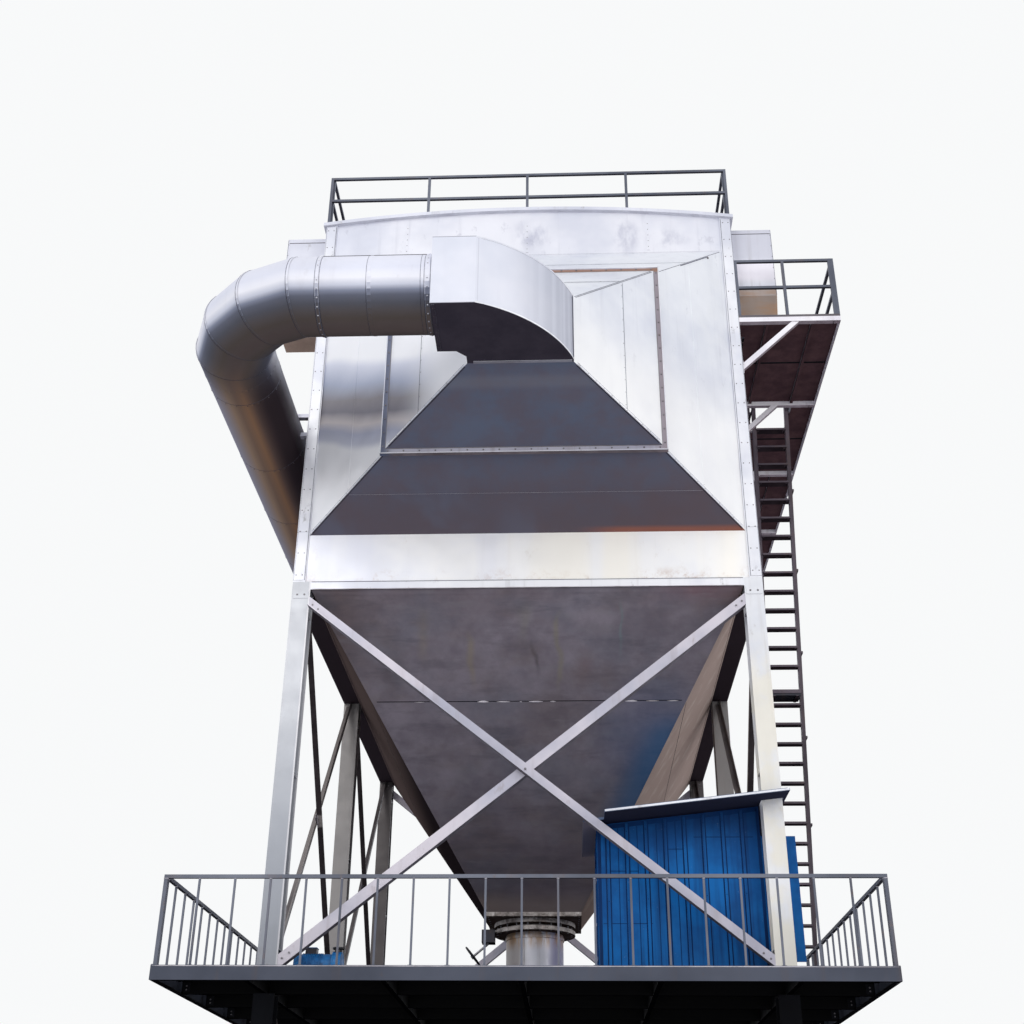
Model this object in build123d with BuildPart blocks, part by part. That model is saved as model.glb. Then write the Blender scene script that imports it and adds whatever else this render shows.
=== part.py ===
"""Electrostatic precipitator on a raised steel deck, with its inlet duct, hopper and access ways.

Millimetres, +Z up, +X to the right and +Y to the rear of the front view.
The origin is on the ground, under the middle of the whole plant.
"""

import os
from math import atan2, degrees, hypot, radians, sqrt, tan

from build123d import *

# Levels: the deck above the ground, and the casing above the deck
deck_height = 3900.0
beam_foot_height = 5070.0
beam_height = 120.0
band_height = 720.0
horn_mouth_height = 4880.0
eaves_height = 11430.0
roof_rise = 230.0

# Plan of the casing and its columns
casing_width = 6400.0
bay_length = 4600.0
bay_count = 2
column_size = 250.0
column_flange = 14.0
column_web = 9.0

# Sill beam round the head of the columns
beam_plate = 10.0
beam_lap = 60.0

# Casing skins
wall = 120.0
wall_setback = 20.0
post_size = 170.0
roof_sheet = 60.0
roof_eave = 45.0
horn_lap = 40.0

# Deck and what carries it
deck_margin_front = 1040.0
deck_margin_side = 950.0
deck_plate_thickness = 10.0
deck_beam_depth = 150.0
deck_beam_flange = 75.0
deck_beam_web = 9.0
joist_width = 60.0
joist_pitch = 1150.0
base_plate_size = 460.0
base_plate_thickness = 30.0
anchor_spacing = 350.0
anchor_hole = 26.0

# Bracing angles
front_brace_leg = 130.0
side_brace_leg = 80.0
brace_thickness = 10.0
brace_crossing_gap = 1.0
front_brace_head_drop = 190.0
front_brace_foot_lift = 200.0

# Inlet and outlet horns
horn_skin = 60.0
horn_waist_reach = 1130.0
horn_waist_half_width = 1850.0
horn_waist_foot_height = 6590.0
horn_waist_depth = 2900.0
horn_neck_reach = 2350.0
neck_width = 1360.0
neck_foot_height = 7140.0
neck_depth = 1010.0
horn_flange_thickness = 70.0
horn_flange_lip = 75.0
outlet_stub_length = 400.0
outlet_flange_thickness = 30.0
outlet_flange_lip = 80.0
outlet_bolt_hole = 22.0
outlet_bolts_across = 6
outlet_bolts_up = 4
plate_seam = 0.6

# Inlet elbow and round duct
elbow_reach = 3620.0
elbow_skin = 30.0
elbow_turn_width = 1180.0
elbow_turn_depth = 1220.0
elbow_turn_radius = 2000.0
elbow_passage = 1000.0
elbow_end_x = 1040.0
elbow_throat = 120.0
duct_radius = 495.0
duct_skin = 20.0
duct_axis_x = 3800.0
bend_radius = 1350.0
bend_mitres = 4
duct_flange_lip = 90.0
duct_flange_thickness = 30.0
duct_bolt_count = 16
duct_bolt_hole = 22.0
bracket_width = 90.0
bracket_thickness = 60.0
bracket_levels = (-60.0, 260.0)

# Hopper and dust outlet
hopper_skin = 12.0
hopper_foot_height = 1550.0
hopper_foot_width = 1440.0
hopper_inset = 10.0
outlet_flange_radius = 625.0
outlet_ring_thickness = 60.0
outlet_ring_gap = 110.0
dust_pipe_radius = 440.0

# Insulator boxes on the sides
box_reach = 660.0
box_height = 1290.0
box_foot_height = 490.0
box_foot_reach = 200.0
box_length = 800.0
box_offset = 80.0
box_head_drop = 40.0

# Side platform
platform_height = 9550.0
platform_width = 1520.0
platform_plate = 40.0
platform_edge_depth = 120.0
platform_edge_thickness = 12.0
platform_bracket_width = 75.0
platform_bracket_drop = 860.0
platform_bracket_out = 900.0
hatch_length = 900.0
hatch_front_gap = 130.0

# Ladder from the deck to the platform, with a seat on the deck's edge under its outer stile
ladder_inner_x = 3700.0
ladder_width = 600.0
ladder_foot_y = 4990.0
ladder_head_y = 2570.0
ladder_seat_length = 300.0
ladder_seat_margin = 30.0
ladder_gap_front = 450.0
ladder_gap_rear = 700.0
stile_thickness = 60.0
stile_depth = 90.0
tread_pitch = 295.0
tread_depth = 150.0
tread_thickness = 30.0
landing_height = 4900.0
landing_depth = 330.0
landing_thickness = 60.0
handrail_bar = 34.0
handrail_offset = 230.0
handrail_foot = 300.0
handrail_struts = 8
hatch_side_gap = 60.0

# Guard rails
rail_bar = 42.0
deck_rail_height = 1000.0
baluster = 24.0
baluster_pitch = 413.0
rail_edge = 40.0
guard_height = 1050.0
roof_guard_height = 1030.0
guard_post_pitch = 1580.0
roof_side_post_pitch = 4700.0
platform_end_post_pitch = 740.0
rail_corner_gap = 0.6

# Sheet-metal shed on the deck
shed_left_x = 900.0
shed_right_x = 2930.0
shed_front_y = 270.0
shed_depth = 1500.0
shed_sheet = 25.0
shed_roof_left_x = 720.0
shed_roof_right_x = 3250.0
shed_roof_left_height = 1870.0
shed_roof_right_height = 2160.0
shed_roof_sheet = 30.0
shed_roof_front = 330.0
shed_roof_rear = 120.0
shed_column_gap = 12.0
shed_brace_notch_width = 260.0
shed_brace_notch_rear = 20.0
shed_fin_right_x = 3360.0
shed_fin_foot = 250.0
shed_fin_head = 1750.0

# Pump set on the deck
pump_x = -2600.0
pump_y = 820.0
pump_length = 580.0
pump_base_width = 320.0
pump_base_height = 90.0
motor_radius = 150.0
volute_radius = 175.0
volute_width = 110.0

# Sizes that follow from the driving ones
casing_length = bay_length * bay_count + column_size
half_width = casing_width / 2
deck_top = deck_height
beam_foot = deck_height + beam_foot_height
beam_head = beam_foot + beam_height
band_head = beam_head + band_height
mouth_head = band_head + horn_mouth_height
eaves = deck_height + eaves_height
post_inner = half_width - post_size
wall_outer = half_width - wall_setback
neck_axis_z = deck_height + neck_foot_height + neck_depth / 2
duct_axis_y = -(elbow_reach - elbow_passage / 2)
rear_reach = horn_neck_reach + outlet_stub_length + outlet_flange_thickness
duct_side_reach = duct_axis_x + duct_radius + duct_flange_lip
platform_side_reach = half_width + platform_width
platform_top = deck_height + platform_height

# The part's origin is under the middle of the plant, so the casing stands off it
centre_x = (duct_side_reach - platform_side_reach) / 2
front_y = (elbow_reach - casing_length - rear_reach) / 2


def middle(span):
    return (span[0] + span[1]) / 2


def extent(span):
    return span[1] - span[0]


def level(z):
    """A level plane, with its origin at the middle of the casing's front."""
    return Plane((centre_x, front_y, z))


def upright(y):
    """A plane that faces the front, y behind the casing's front: its own y is the height."""
    return Plane(origin=(centre_x, front_y + y, 0), x_dir=(1, 0, 0), z_dir=(0, -1, 0))


def sideways(x):
    """A plane that faces right, x from the casing's middle: its own x runs to the rear."""
    return Plane(origin=(centre_x + x, front_y, 0), x_dir=(0, 1, 0), z_dir=(1, 0, 0))


def block(x, y, z):
    """A block that fills three spans, each given as its low and high end."""
    with Locations((centre_x + middle(x), front_y + middle(y), middle(z))):
        Box(extent(x), extent(y), extent(z))


def either_side(low, high):
    """The same span on the left and on the right of the casing's middle."""
    return ((-high, -low), (low, high))


def finish(built, name):
    built.part.label = name
    export_step(built.part, f"parts/{name}.step")


def column_lines():
    """Where each row of columns starts, from the front."""
    return [bay * bay_length for bay in range(bay_count + 1)]


def column_row(foot, head):
    """The H-section columns of every row, as one list of separate solids."""
    columns = []
    for side in (-1, 1):
        for line in column_lines():
            with BuildPart() as column:
                with BuildSketch(level(foot)):
                    with Locations((side * (half_width - column_size / 2), line + column_size / 2)):
                        Rectangle(column_size, column_size)
                        with Locations((-column_size / 2, 0), (column_size / 2, 0)):
                            Rectangle(
                                column_size - column_web,
                                column_size - 2 * column_flange,
                                mode=Mode.SUBTRACT,
                            )
                extrude(amount=head - foot)
            columns.append(column.part)
    return columns


def angle_bar(plane, opening, start, end, leg, toward_viewer):
    """A bracing angle laid corner to corner in an opening and cut to fit it.

    The opening is two spans in the plane's own directions.
    """
    run = (end[0] - start[0], end[1] - start[1])
    length = hypot(*run) + 2 * leg
    tilt = degrees(atan2(run[1], run[0]))
    centre = ((start[0] + end[0]) / 2, (start[1] + end[1]) / 2)
    side = 1 if toward_viewer else -1
    with BuildPart() as bar:
        for breadth, shift, reach in (
            (leg, 0, brace_thickness),
            (brace_thickness, -(leg - brace_thickness) / 2, leg),
        ):
            with BuildSketch(plane):
                with Locations(Location(centre, tilt)):
                    with Locations((0, shift)):
                        Rectangle(length, breadth)
                with Locations((middle(opening[0]), middle(opening[1]))):
                    Rectangle(extent(opening[0]), extent(opening[1]), mode=Mode.INTERSECT)
            extrude(amount=side * reach)
    return bar.part


def crossed_angles(plane, opening, leg, foot_lift=0.0, head_drop=0.0):
    """Two bracing angles that cross in an opening, back to back with a thin gap.

    The lift and the drop move their ends in from the opening's corners.
    """
    left, right = opening[0]
    foot = opening[1][0] + foot_lift
    head = opening[1][1] - head_drop
    behind = plane.offset(-brace_crossing_gap)
    return [
        angle_bar(plane, opening, (left, head), (right, foot), leg, True),
        angle_bar(behind, opening, (left, foot), (right, head), leg, False),
    ]


def rectangle_corners(x, z):
    return [(x[0], z[0]), (x[1], z[0]), (x[1], z[1]), (x[0], z[1])]


def inset_spans(x, z, skin):
    return (x[0] + skin, x[1] - skin), (z[0] + skin, z[1] - skin)


def trunk_plates(near, far, skin):
    """Four mitred plates of a tapered trunk between two rectangles.

    Each end is a plane and the outer spans of the trunk in that plane.
    """
    plates = []
    for side in range(4):
        with BuildPart() as plate:
            for plane, x, z in (near, far):
                outer = rectangle_corners(x, z)
                inner = rectangle_corners(*inset_spans(x, z, skin))
                following = (side + 1) % 4
                along = Vector(*outer[following]) - Vector(*outer[side])
                seam = along.normalized() * (plate_seam / 2)
                with BuildSketch(plane):
                    with BuildLine():
                        Polyline(
                            Vector(*outer[side]) + seam,
                            Vector(*outer[following]) - seam,
                            Vector(*inner[following]) - seam,
                            Vector(*inner[side]) + seam,
                            close=True,
                        )
                    make_face()
            loft(ruled=True)
        plates.append(plate.part)
    return plates


def roof_height_at(x, drop=0.0):
    """The height of the roof's underside at x from its middle, less a drop."""
    radius = (half_width**2 + roof_rise**2) / (2 * roof_rise)
    return eaves + roof_rise - radius + sqrt((radius - drop) ** 2 - x**2)


def guard_rail(plane, span, foot, height, post_pitch, with_mid_rail, foot_at=None):
    """A guard rail of square bars in one plane, with evenly spaced posts.

    Foot_at gives the height that each post stands on, where that isn't level.
    """
    post_gaps = max(1, round((extent(span) - rail_bar) / post_pitch))
    step = (extent(span) - rail_bar) / post_gaps
    rails = [foot + height - rail_bar / 2]
    if with_mid_rail:
        rails.append(foot + height / 2)
    with BuildPart() as rail:
        with BuildSketch(plane):
            for rail_height in rails:
                with Locations((middle(span), rail_height)):
                    Rectangle(extent(span), rail_bar)
            for post in range(post_gaps + 1):
                at = span[0] + rail_bar / 2 + post * step
                seat = foot_at(max(abs(at) - rail_bar / 2, 0)) if foot_at else foot
                with Locations((at, (seat + foot + height) / 2)):
                    Rectangle(rail_bar, foot + height - seat)
        extrude(amount=rail_bar / 2, both=True)
    return rail.part


os.makedirs("parts", exist_ok=True)

# Ground level: base plates, columns under the deck and their bracing
with BuildPart() as base_plates:
    for side in (-1, 1):
        for line in column_lines():
            with BuildSketch(level(0)):
                with Locations((side * (half_width - column_size / 2), line + column_size / 2)):
                    Rectangle(base_plate_size, base_plate_size)
                    with GridLocations(anchor_spacing, anchor_spacing, 2, 2):
                        Circle(anchor_hole / 2, mode=Mode.SUBTRACT)
    extrude(amount=base_plate_thickness)
finish(base_plates, "base_plates")

deck_frame_foot = deck_top - deck_plate_thickness - deck_beam_depth
with BuildPart() as lower_columns:
    add(column_row(base_plate_thickness, deck_frame_foot))
finish(lower_columns, "lower_columns")

with BuildPart() as lower_braces:
    for side in (-1, 1):
        brace_face = side * (half_width - column_size / 2)
        for line in column_lines()[:-1]:
            opening = (
                (line + column_size, line + bay_length),
                (base_plate_thickness, deck_frame_foot),
            )
            add(crossed_angles(sideways(brace_face), opening, side_brace_leg))
finish(lower_braces, "lower_braces")

# Deck: a frame of channels and joists under a plate
deck_half = half_width + deck_margin_side
deck_span_y = (-deck_margin_front, casing_length + deck_margin_front)
deck_span_x = (-deck_half, deck_half)
with BuildPart() as deck_frame:
    with BuildSketch(level(deck_frame_foot)):
        with Locations((0, middle(deck_span_y))):
            Rectangle(2 * deck_half, extent(deck_span_y))
            Rectangle(
                2 * (deck_half - deck_beam_web),
                extent(deck_span_y) - 2 * deck_beam_web,
                mode=Mode.SUBTRACT,
            )
    extrude(amount=deck_beam_depth)
    for flange_foot in (deck_frame_foot, deck_frame_foot + deck_beam_depth - deck_beam_web):
        with BuildSketch(level(flange_foot)):
            with Locations((0, middle(deck_span_y))):
                Rectangle(2 * deck_half, extent(deck_span_y))
                Rectangle(
                    2 * (deck_half - deck_beam_flange),
                    extent(deck_span_y) - 2 * deck_beam_flange,
                    mode=Mode.SUBTRACT,
                )
        extrude(amount=deck_beam_web)
    joist_gaps = round(extent(deck_span_y) / joist_pitch)
    with BuildSketch(level(deck_frame_foot)):
        for joist in range(1, joist_gaps):
            with Locations((0, deck_span_y[0] + joist * extent(deck_span_y) / joist_gaps)):
                Rectangle(2 * (deck_half - deck_beam_web), joist_width)
        for share in (-1, -0.5, 0, 0.5, 1):
            with Locations((share * (half_width - column_size / 2), middle(deck_span_y))):
                Rectangle(joist_width, extent(deck_span_y) - 2 * deck_beam_web)
    extrude(amount=deck_beam_depth)
finish(deck_frame, "deck_frame")

with BuildPart() as deck_plate:
    block(deck_span_x, deck_span_y, (deck_top - deck_plate_thickness, deck_top))
finish(deck_plate, "deck_plate")

# Guard rail round the deck: one panel a side, of close upright bars under one rail
deck_rail_half = deck_half - rail_edge
deck_rail_y = (deck_span_y[0] + rail_edge, deck_span_y[1] - rail_edge)
side_rail_span = (
    deck_rail_y[0] + rail_bar / 2 + rail_corner_gap,
    deck_rail_y[1] - rail_bar / 2 - rail_corner_gap,
)
front_rail_span = (-deck_rail_half - rail_bar / 2, deck_rail_half + rail_bar / 2)


def baluster_panel(plane, span):
    with BuildPart() as panel:
        with BuildSketch(plane):
            with Locations((middle(span), deck_top + deck_rail_height - rail_bar / 2)):
                Rectangle(extent(span), rail_bar)
            for end in (span[0] + rail_bar / 2, span[1] - rail_bar / 2):
                with Locations((end, deck_top + deck_rail_height / 2)):
                    Rectangle(rail_bar, deck_rail_height)
        extrude(amount=rail_bar / 2, both=True)
        gaps = round(extent(span) / baluster_pitch)
        with BuildSketch(plane):
            for bar in range(1, gaps):
                with Locations((span[0] + bar * extent(span) / gaps, deck_top + deck_rail_height / 2)):
                    Rectangle(baluster, deck_rail_height)
        extrude(amount=baluster / 2, both=True)
    return panel.part


with BuildPart() as deck_rail_ends:
    for y in deck_rail_y:
        add(baluster_panel(upright(y), front_rail_span))
finish(deck_rail_ends, "deck_rail_ends")

# The right panel stops short of the ladder's foot on both sides
ladder_gap = (ladder_foot_y - ladder_gap_front, ladder_foot_y + ladder_gap_rear)
with BuildPart() as deck_rail_sides:
    add(baluster_panel(sideways(-deck_rail_half), side_rail_span))
    for span in ((side_rail_span[0], ladder_gap[0]), (ladder_gap[1], side_rail_span[1])):
        add(baluster_panel(sideways(deck_rail_half), span))
finish(deck_rail_sides, "deck_rail_sides")

# Columns from the deck to the sill beam, and the bracing between them
with BuildPart() as columns:
    add(column_row(deck_top, beam_head))
finish(columns, "columns")

column_inner = half_width - column_size
front_opening = ((-column_inner, column_inner), (deck_top, beam_foot))
for name, face in (
    ("brace_front", upright(column_flange / 2)),
    ("brace_rear", upright(casing_length - column_flange / 2)),
):
    with BuildPart() as brace:
        add(
            crossed_angles(
                face,
                front_opening,
                front_brace_leg,
                front_brace_foot_lift,
                front_brace_head_drop,
            )
        )
    finish(brace, name)

for name, side in (("brace_left", -1), ("brace_right", 1)):
    with BuildPart() as brace:
        for line in column_lines()[:-1]:
            bay_opening = ((line + column_size, line + bay_length), (deck_top, beam_foot))
            brace_face = side * (half_width - column_size / 2)
            add(crossed_angles(sideways(brace_face), bay_opening, side_brace_leg))
    finish(brace, name)

# Sill beam: channels that close the bays at the head of the columns
with BuildPart() as ring_beam:
    flange_reach = column_size + beam_lap
    for near, inward in ((0, 1), (casing_length, -1)):
        web = sorted((near, near + inward * beam_plate))
        flange = sorted((near, near + inward * flange_reach))
        block((-column_inner, column_inner), web, (beam_foot, beam_head))
        for foot in (beam_foot, beam_head - beam_plate):
            block((-column_inner, column_inner), flange, (foot, foot + beam_plate))
    for line in column_lines()[:-1]:
        bay = (line + column_size, line + bay_length)
        for web in either_side(half_width - beam_plate, half_width):
            block(web, bay, (beam_foot, beam_head))
        for flange in either_side(half_width - flange_reach, half_width):
            for foot in (beam_foot, beam_head - beam_plate):
                block(flange, bay, (foot, foot + beam_plate))
finish(ring_beam, "ring_beam")

# Casing: posts on the columns, bands, gables, side walls and a shallow arched roof
with BuildPart() as casing_posts:
    post_rows = (
        (0, post_size),
        *((line, line + column_size) for line in column_lines()[1:-1]),
        (casing_length - post_size, casing_length),
    )
    for row in post_rows:
        for side in (-1, 1):
            with BuildSketch(upright(row[0])):
                with BuildLine():
                    Polyline(
                        (side * post_inner, beam_head),
                        (side * half_width, beam_head),
                        (side * half_width, roof_height_at(half_width)),
                        (side * post_inner, roof_height_at(post_inner)),
                        close=True,
                    )
                make_face()
            extrude(amount=-extent(row))
finish(casing_posts, "casing_posts")

for name, near, inward in (("front_band", 0, 1), ("rear_band", casing_length, -1)):
    with BuildPart() as band:
        depth = sorted((near + inward * wall_setback, near + inward * (wall_setback + wall)))
        block((-post_inner, post_inner), depth, (beam_head, band_head + horn_lap))
    finish(band, name)

for name, near, inward in (("front_gable", 0, 1), ("rear_gable", casing_length, -1)):
    with BuildPart() as gable:
        with BuildSketch(upright(near + inward * wall_setback)):
            with BuildLine():
                foot = mouth_head - horn_lap
                shoulder = roof_height_at(post_inner)
                Polyline(
                    (-post_inner, shoulder),
                    (-post_inner, foot),
                    (post_inner, foot),
                    (post_inner, shoulder),
                )
                ThreePointArc((post_inner, shoulder), (0, roof_height_at(0)), (-post_inner, shoulder))
            make_face()
        extrude(amount=-inward * wall)
    finish(gable, name)

wall_bays = [
    (post_rows[bay][1], post_rows[bay + 1][0])
    for bay in range(bay_count)
]
for name, side in (("left_wall", -1), ("right_wall", 1)):
    with BuildPart() as side_wall:
        for bay in wall_bays:
            with BuildSketch(upright(bay[0])):
                with BuildLine():
                    Polyline(
                        (side * (wall_outer - wall), beam_head),
                        (side * wall_outer, beam_head),
                        (side * wall_outer, roof_height_at(wall_outer)),
                        (side * (wall_outer - wall), roof_height_at(wall_outer - wall)),
                        close=True,
                    )
                make_face()
            extrude(amount=-extent(bay))
    finish(side_wall, name)

with BuildPart() as roof:
    eave = half_width + roof_eave
    with BuildSketch(upright(-roof_eave)):
        with BuildLine():
            ThreePointArc((-eave, roof_height_at(eave)), (0, roof_height_at(0)), (eave, roof_height_at(eave)))
            Line((eave, roof_height_at(eave)), (eave, roof_height_at(eave) + roof_sheet))
            ThreePointArc(
                (eave, roof_height_at(eave) + roof_sheet),
                (0, roof_height_at(0) + roof_sheet),
                (-eave, roof_height_at(eave) + roof_sheet),
            )
            Line((-eave, roof_height_at(eave) + roof_sheet), (-eave, roof_height_at(eave)))
        make_face()
    extrude(amount=-(casing_length + 2 * roof_eave))
finish(roof, "roof")

# Horns: two tapered trunks with an angle frame between them, at the front and at the rear
mouth_x = (-post_inner, post_inner)
mouth_z = (band_head, mouth_head)
waist_foot = deck_height + horn_waist_foot_height
waist_x = (-horn_waist_half_width, horn_waist_half_width)
waist_z = (waist_foot, waist_foot + horn_waist_depth)
frame_x = (waist_x[0] - horn_flange_lip, waist_x[1] + horn_flange_lip)
frame_z = (waist_z[0] - horn_flange_lip, waist_z[1] + horn_flange_lip)
neck_x = (-neck_width / 2, neck_width / 2)
neck_z = (deck_height + neck_foot_height, deck_height + neck_foot_height + neck_depth)

for name, face, outward in (
    ("inlet", wall_setback, -1),
    ("outlet", casing_length - wall_setback, 1),
):
    frame_near = upright(face + outward * horn_waist_reach)
    frame_far = upright(face + outward * (horn_waist_reach + horn_flange_thickness))
    with BuildPart() as horn_base:
        add(trunk_plates((upright(face), mouth_x, mouth_z), (frame_near, waist_x, waist_z), horn_skin))
    finish(horn_base, f"{name}_horn_base")
    with BuildPart() as horn_frame:
        lip = horn_flange_lip + horn_skin
        add(trunk_plates((frame_near, frame_x, frame_z), (frame_far, frame_x, frame_z), lip))
    finish(horn_frame, f"{name}_horn_frame")
    with BuildPart() as horn_nose:
        neck = upright(face + outward * (horn_neck_reach + wall_setback))
        add(trunk_plates((frame_far, waist_x, waist_z), (neck, neck_x, neck_z), horn_skin))
    finish(horn_nose, f"{name}_horn_nose")

# Outlet stub with a bolted end flange
stub_near = casing_length + horn_neck_reach
stub_far = stub_near + outlet_stub_length
with BuildPart() as outlet_stub:
    add(trunk_plates((upright(stub_near), neck_x, neck_z), (upright(stub_far), neck_x, neck_z), elbow_skin))
finish(outlet_stub, "outlet_stub")

flange_half_x = neck_width / 2 + outlet_flange_lip
flange_half_z = neck_depth / 2 + outlet_flange_lip
bolt_span_x = neck_width + outlet_flange_lip
bolt_span_z = neck_depth + outlet_flange_lip
with BuildPart() as outlet_flange:
    with BuildSketch(upright(stub_far + outlet_flange_thickness)):
        with Locations((0, neck_axis_z)):
            Rectangle(2 * flange_half_x, 2 * flange_half_z)
            Rectangle(neck_width - 2 * elbow_skin, neck_depth - 2 * elbow_skin, mode=Mode.SUBTRACT)
            with GridLocations(bolt_span_x / (outlet_bolts_across - 1), bolt_span_z, outlet_bolts_across, 2):
                Circle(outlet_bolt_hole / 2, mode=Mode.SUBTRACT)
            with GridLocations(bolt_span_x, bolt_span_z / (outlet_bolts_up - 1), 2, outlet_bolts_up):
                Circle(outlet_bolt_hole / 2, mode=Mode.SUBTRACT)
    extrude(amount=outlet_flange_thickness)
finish(outlet_flange, "outlet_flange")

# Inlet elbow: a box section that turns left, with a curved outer wall
elbow_back = -horn_neck_reach
elbow_right = neck_width / 2
elbow_left_arm_back = -elbow_reach + elbow_passage


def elbow_outline(skin):
    """The elbow's plan, drawn in from its outside by a skin, and past its two open ends."""
    right = elbow_right - skin
    front = -elbow_reach + skin
    left = -elbow_end_x
    turn_start = (right, front + elbow_turn_depth)
    turn_end = (right - elbow_turn_width, front)
    throat_back = elbow_left_arm_back - skin
    throat_side = -neck_width / 2 + skin
    with BuildSketch(level(neck_z[0] + skin)) as outline:
        with BuildLine():
            Line((right, elbow_back), turn_start)
            RadiusArc(turn_start, turn_end, elbow_turn_radius)
            Line(turn_end, (left, front))
            Polyline(
                (left, front),
                (left, throat_back),
                (throat_side - elbow_throat, throat_back),
                (throat_side, throat_back + elbow_throat),
                (throat_side, elbow_back),
                (right, elbow_back),
            )
        make_face()
    return outline.sketch


with BuildPart() as inlet_elbow:
    extrude(elbow_outline(0), amount=neck_depth)
    extrude(elbow_outline(elbow_skin), amount=neck_depth - 2 * elbow_skin, mode=Mode.SUBTRACT)
    block(
        (-elbow_end_x, -elbow_end_x + elbow_skin),
        (-elbow_reach, elbow_left_arm_back),
        neck_z,
    )
    with BuildSketch(sideways(-elbow_end_x)):
        with Locations((duct_axis_y, neck_axis_z)):
            Circle(duct_radius - duct_skin)
    extrude(amount=elbow_skin, mode=Mode.SUBTRACT)
finish(inlet_elbow, "inlet_elbow")

# Round duct: a short run, a mitred bend, and a long run beside the casing
bend_start_x = -(duct_axis_x - bend_radius)
bend_end_y = duct_axis_y + bend_radius
with BuildPart() as duct_straight:
    with BuildSketch(sideways(-elbow_end_x)):
        with Locations((duct_axis_y, neck_axis_z)):
            Circle(duct_radius)
            Circle(duct_radius - duct_skin, mode=Mode.SUBTRACT)
    extrude(amount=bend_start_x + elbow_end_x)
finish(duct_straight, "duct_straight")

mitre_step = 90.0 / bend_mitres
mitre_tangent = bend_radius * tan(radians(mitre_step / 2))


def bend_points():
    """The bend's centre line: corners that lie outside the bend's circle, one for each mitre."""
    points = [Vector(centre_x + bend_start_x, front_y + duct_axis_y, neck_axis_z)]
    heading = Vector(-1, 0, 0)
    reach = mitre_tangent
    for mitre in range(bend_mitres):
        points.append(points[-1] + heading * reach)
        heading = heading.rotate(Axis.Z, -mitre_step)
        reach = 2 * mitre_tangent
    points.append(points[-1] + heading * mitre_tangent)
    return points


with BuildPart() as duct_bend:
    with BuildLine():
        Polyline(*bend_points())
    with BuildSketch(sideways(bend_start_x)):
        with Locations((duct_axis_y, neck_axis_z)):
            Circle(duct_radius)
            Circle(duct_radius - duct_skin, mode=Mode.SUBTRACT)
    sweep(transition=Transition.RIGHT)
finish(duct_bend, "duct_bend")

duct_end_y = casing_length - duct_flange_thickness
with BuildPart() as duct_run:
    with BuildSketch(upright(bend_end_y)):
        with Locations((-duct_axis_x, neck_axis_z)):
            Circle(duct_radius)
            Circle(duct_radius - duct_skin, mode=Mode.SUBTRACT)
    extrude(amount=-(duct_end_y - bend_end_y))
finish(duct_run, "duct_run")

with BuildPart() as duct_flange:
    with BuildSketch(upright(casing_length)):
        with Locations((-duct_axis_x, neck_axis_z)):
            Circle(duct_radius + duct_flange_lip)
            Circle(duct_radius - duct_skin, mode=Mode.SUBTRACT)
            with PolarLocations(duct_radius + duct_flange_lip / 2, duct_bolt_count):
                Circle(duct_bolt_hole / 2, mode=Mode.SUBTRACT)
    extrude(amount=duct_flange_thickness)
finish(duct_flange, "duct_flange")

# Brackets that hold the duct off the casing's posts
bracket_lines = (0, *column_lines()[1:-1], casing_length - post_size)
with BuildPart() as duct_brackets:
    for line in bracket_lines:
        for offset in bracket_levels:
            saddle = sqrt(duct_radius**2 - (abs(offset) + bracket_thickness / 2) ** 2)
            block(
                (-duct_axis_x + saddle, -half_width),
                (line + (post_size - bracket_width) / 2, line + (post_size + bracket_width) / 2),
                (neck_axis_z + offset - bracket_thickness / 2, neck_axis_z + offset + bracket_thickness / 2),
            )
    with BuildSketch(upright(bracket_lines[0] - bracket_width)) as duct_core:
        with Locations((-duct_axis_x, neck_axis_z)):
            Circle(duct_radius)
    extrude(amount=-(casing_length + 2 * bracket_width), mode=Mode.SUBTRACT)
finish(duct_brackets, "duct_brackets")

# Hopper: one inverted pyramid under both bays
hopper_half = column_inner - hopper_inset
hopper_middle = casing_length / 2
hopper_foot = deck_height + hopper_foot_height
half_foot = hopper_foot_width / 2
hopper_head_y = (wall_setback, casing_length - wall_setback)
with BuildPart() as hopper:
    add(
        trunk_plates(
            (level(beam_foot), (-hopper_half, hopper_half), hopper_head_y),
            (
                level(hopper_foot),
                (-half_foot, half_foot),
                (hopper_middle - half_foot, hopper_middle + half_foot),
            ),
            hopper_skin,
        )
    )
finish(hopper, "hopper")

ring_foot = hopper_foot - 2 * outlet_ring_thickness - outlet_ring_gap
with BuildPart() as hopper_flange:
    with BuildSketch(level(hopper_foot - outlet_ring_thickness)):
        with Locations((0, hopper_middle)):
            Rectangle(hopper_foot_width, hopper_foot_width)
    extrude(amount=outlet_ring_thickness)
    with BuildSketch(level(hopper_foot - 2 * outlet_ring_thickness)):
        with Locations((0, hopper_middle)):
            Circle(outlet_flange_radius)
    extrude(amount=outlet_ring_thickness)
    with BuildSketch(level(ring_foot + outlet_ring_thickness)):
        with Locations((0, hopper_middle)):
            Circle(dust_pipe_radius)
    extrude(amount=outlet_ring_gap - outlet_ring_thickness)
    with BuildSketch(level(ring_foot)):
        with Locations((0, hopper_middle)):
            Circle(outlet_flange_radius)
    extrude(amount=outlet_ring_thickness)
finish(hopper_flange, "hopper_flange")

with BuildPart() as dust_pipe:
    with BuildSketch(level(deck_top)):
        with Locations((0, hopper_middle)):
            Circle(dust_pipe_radius)
    extrude(amount=ring_foot - deck_top)
finish(dust_pipe, "dust_pipe")

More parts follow.
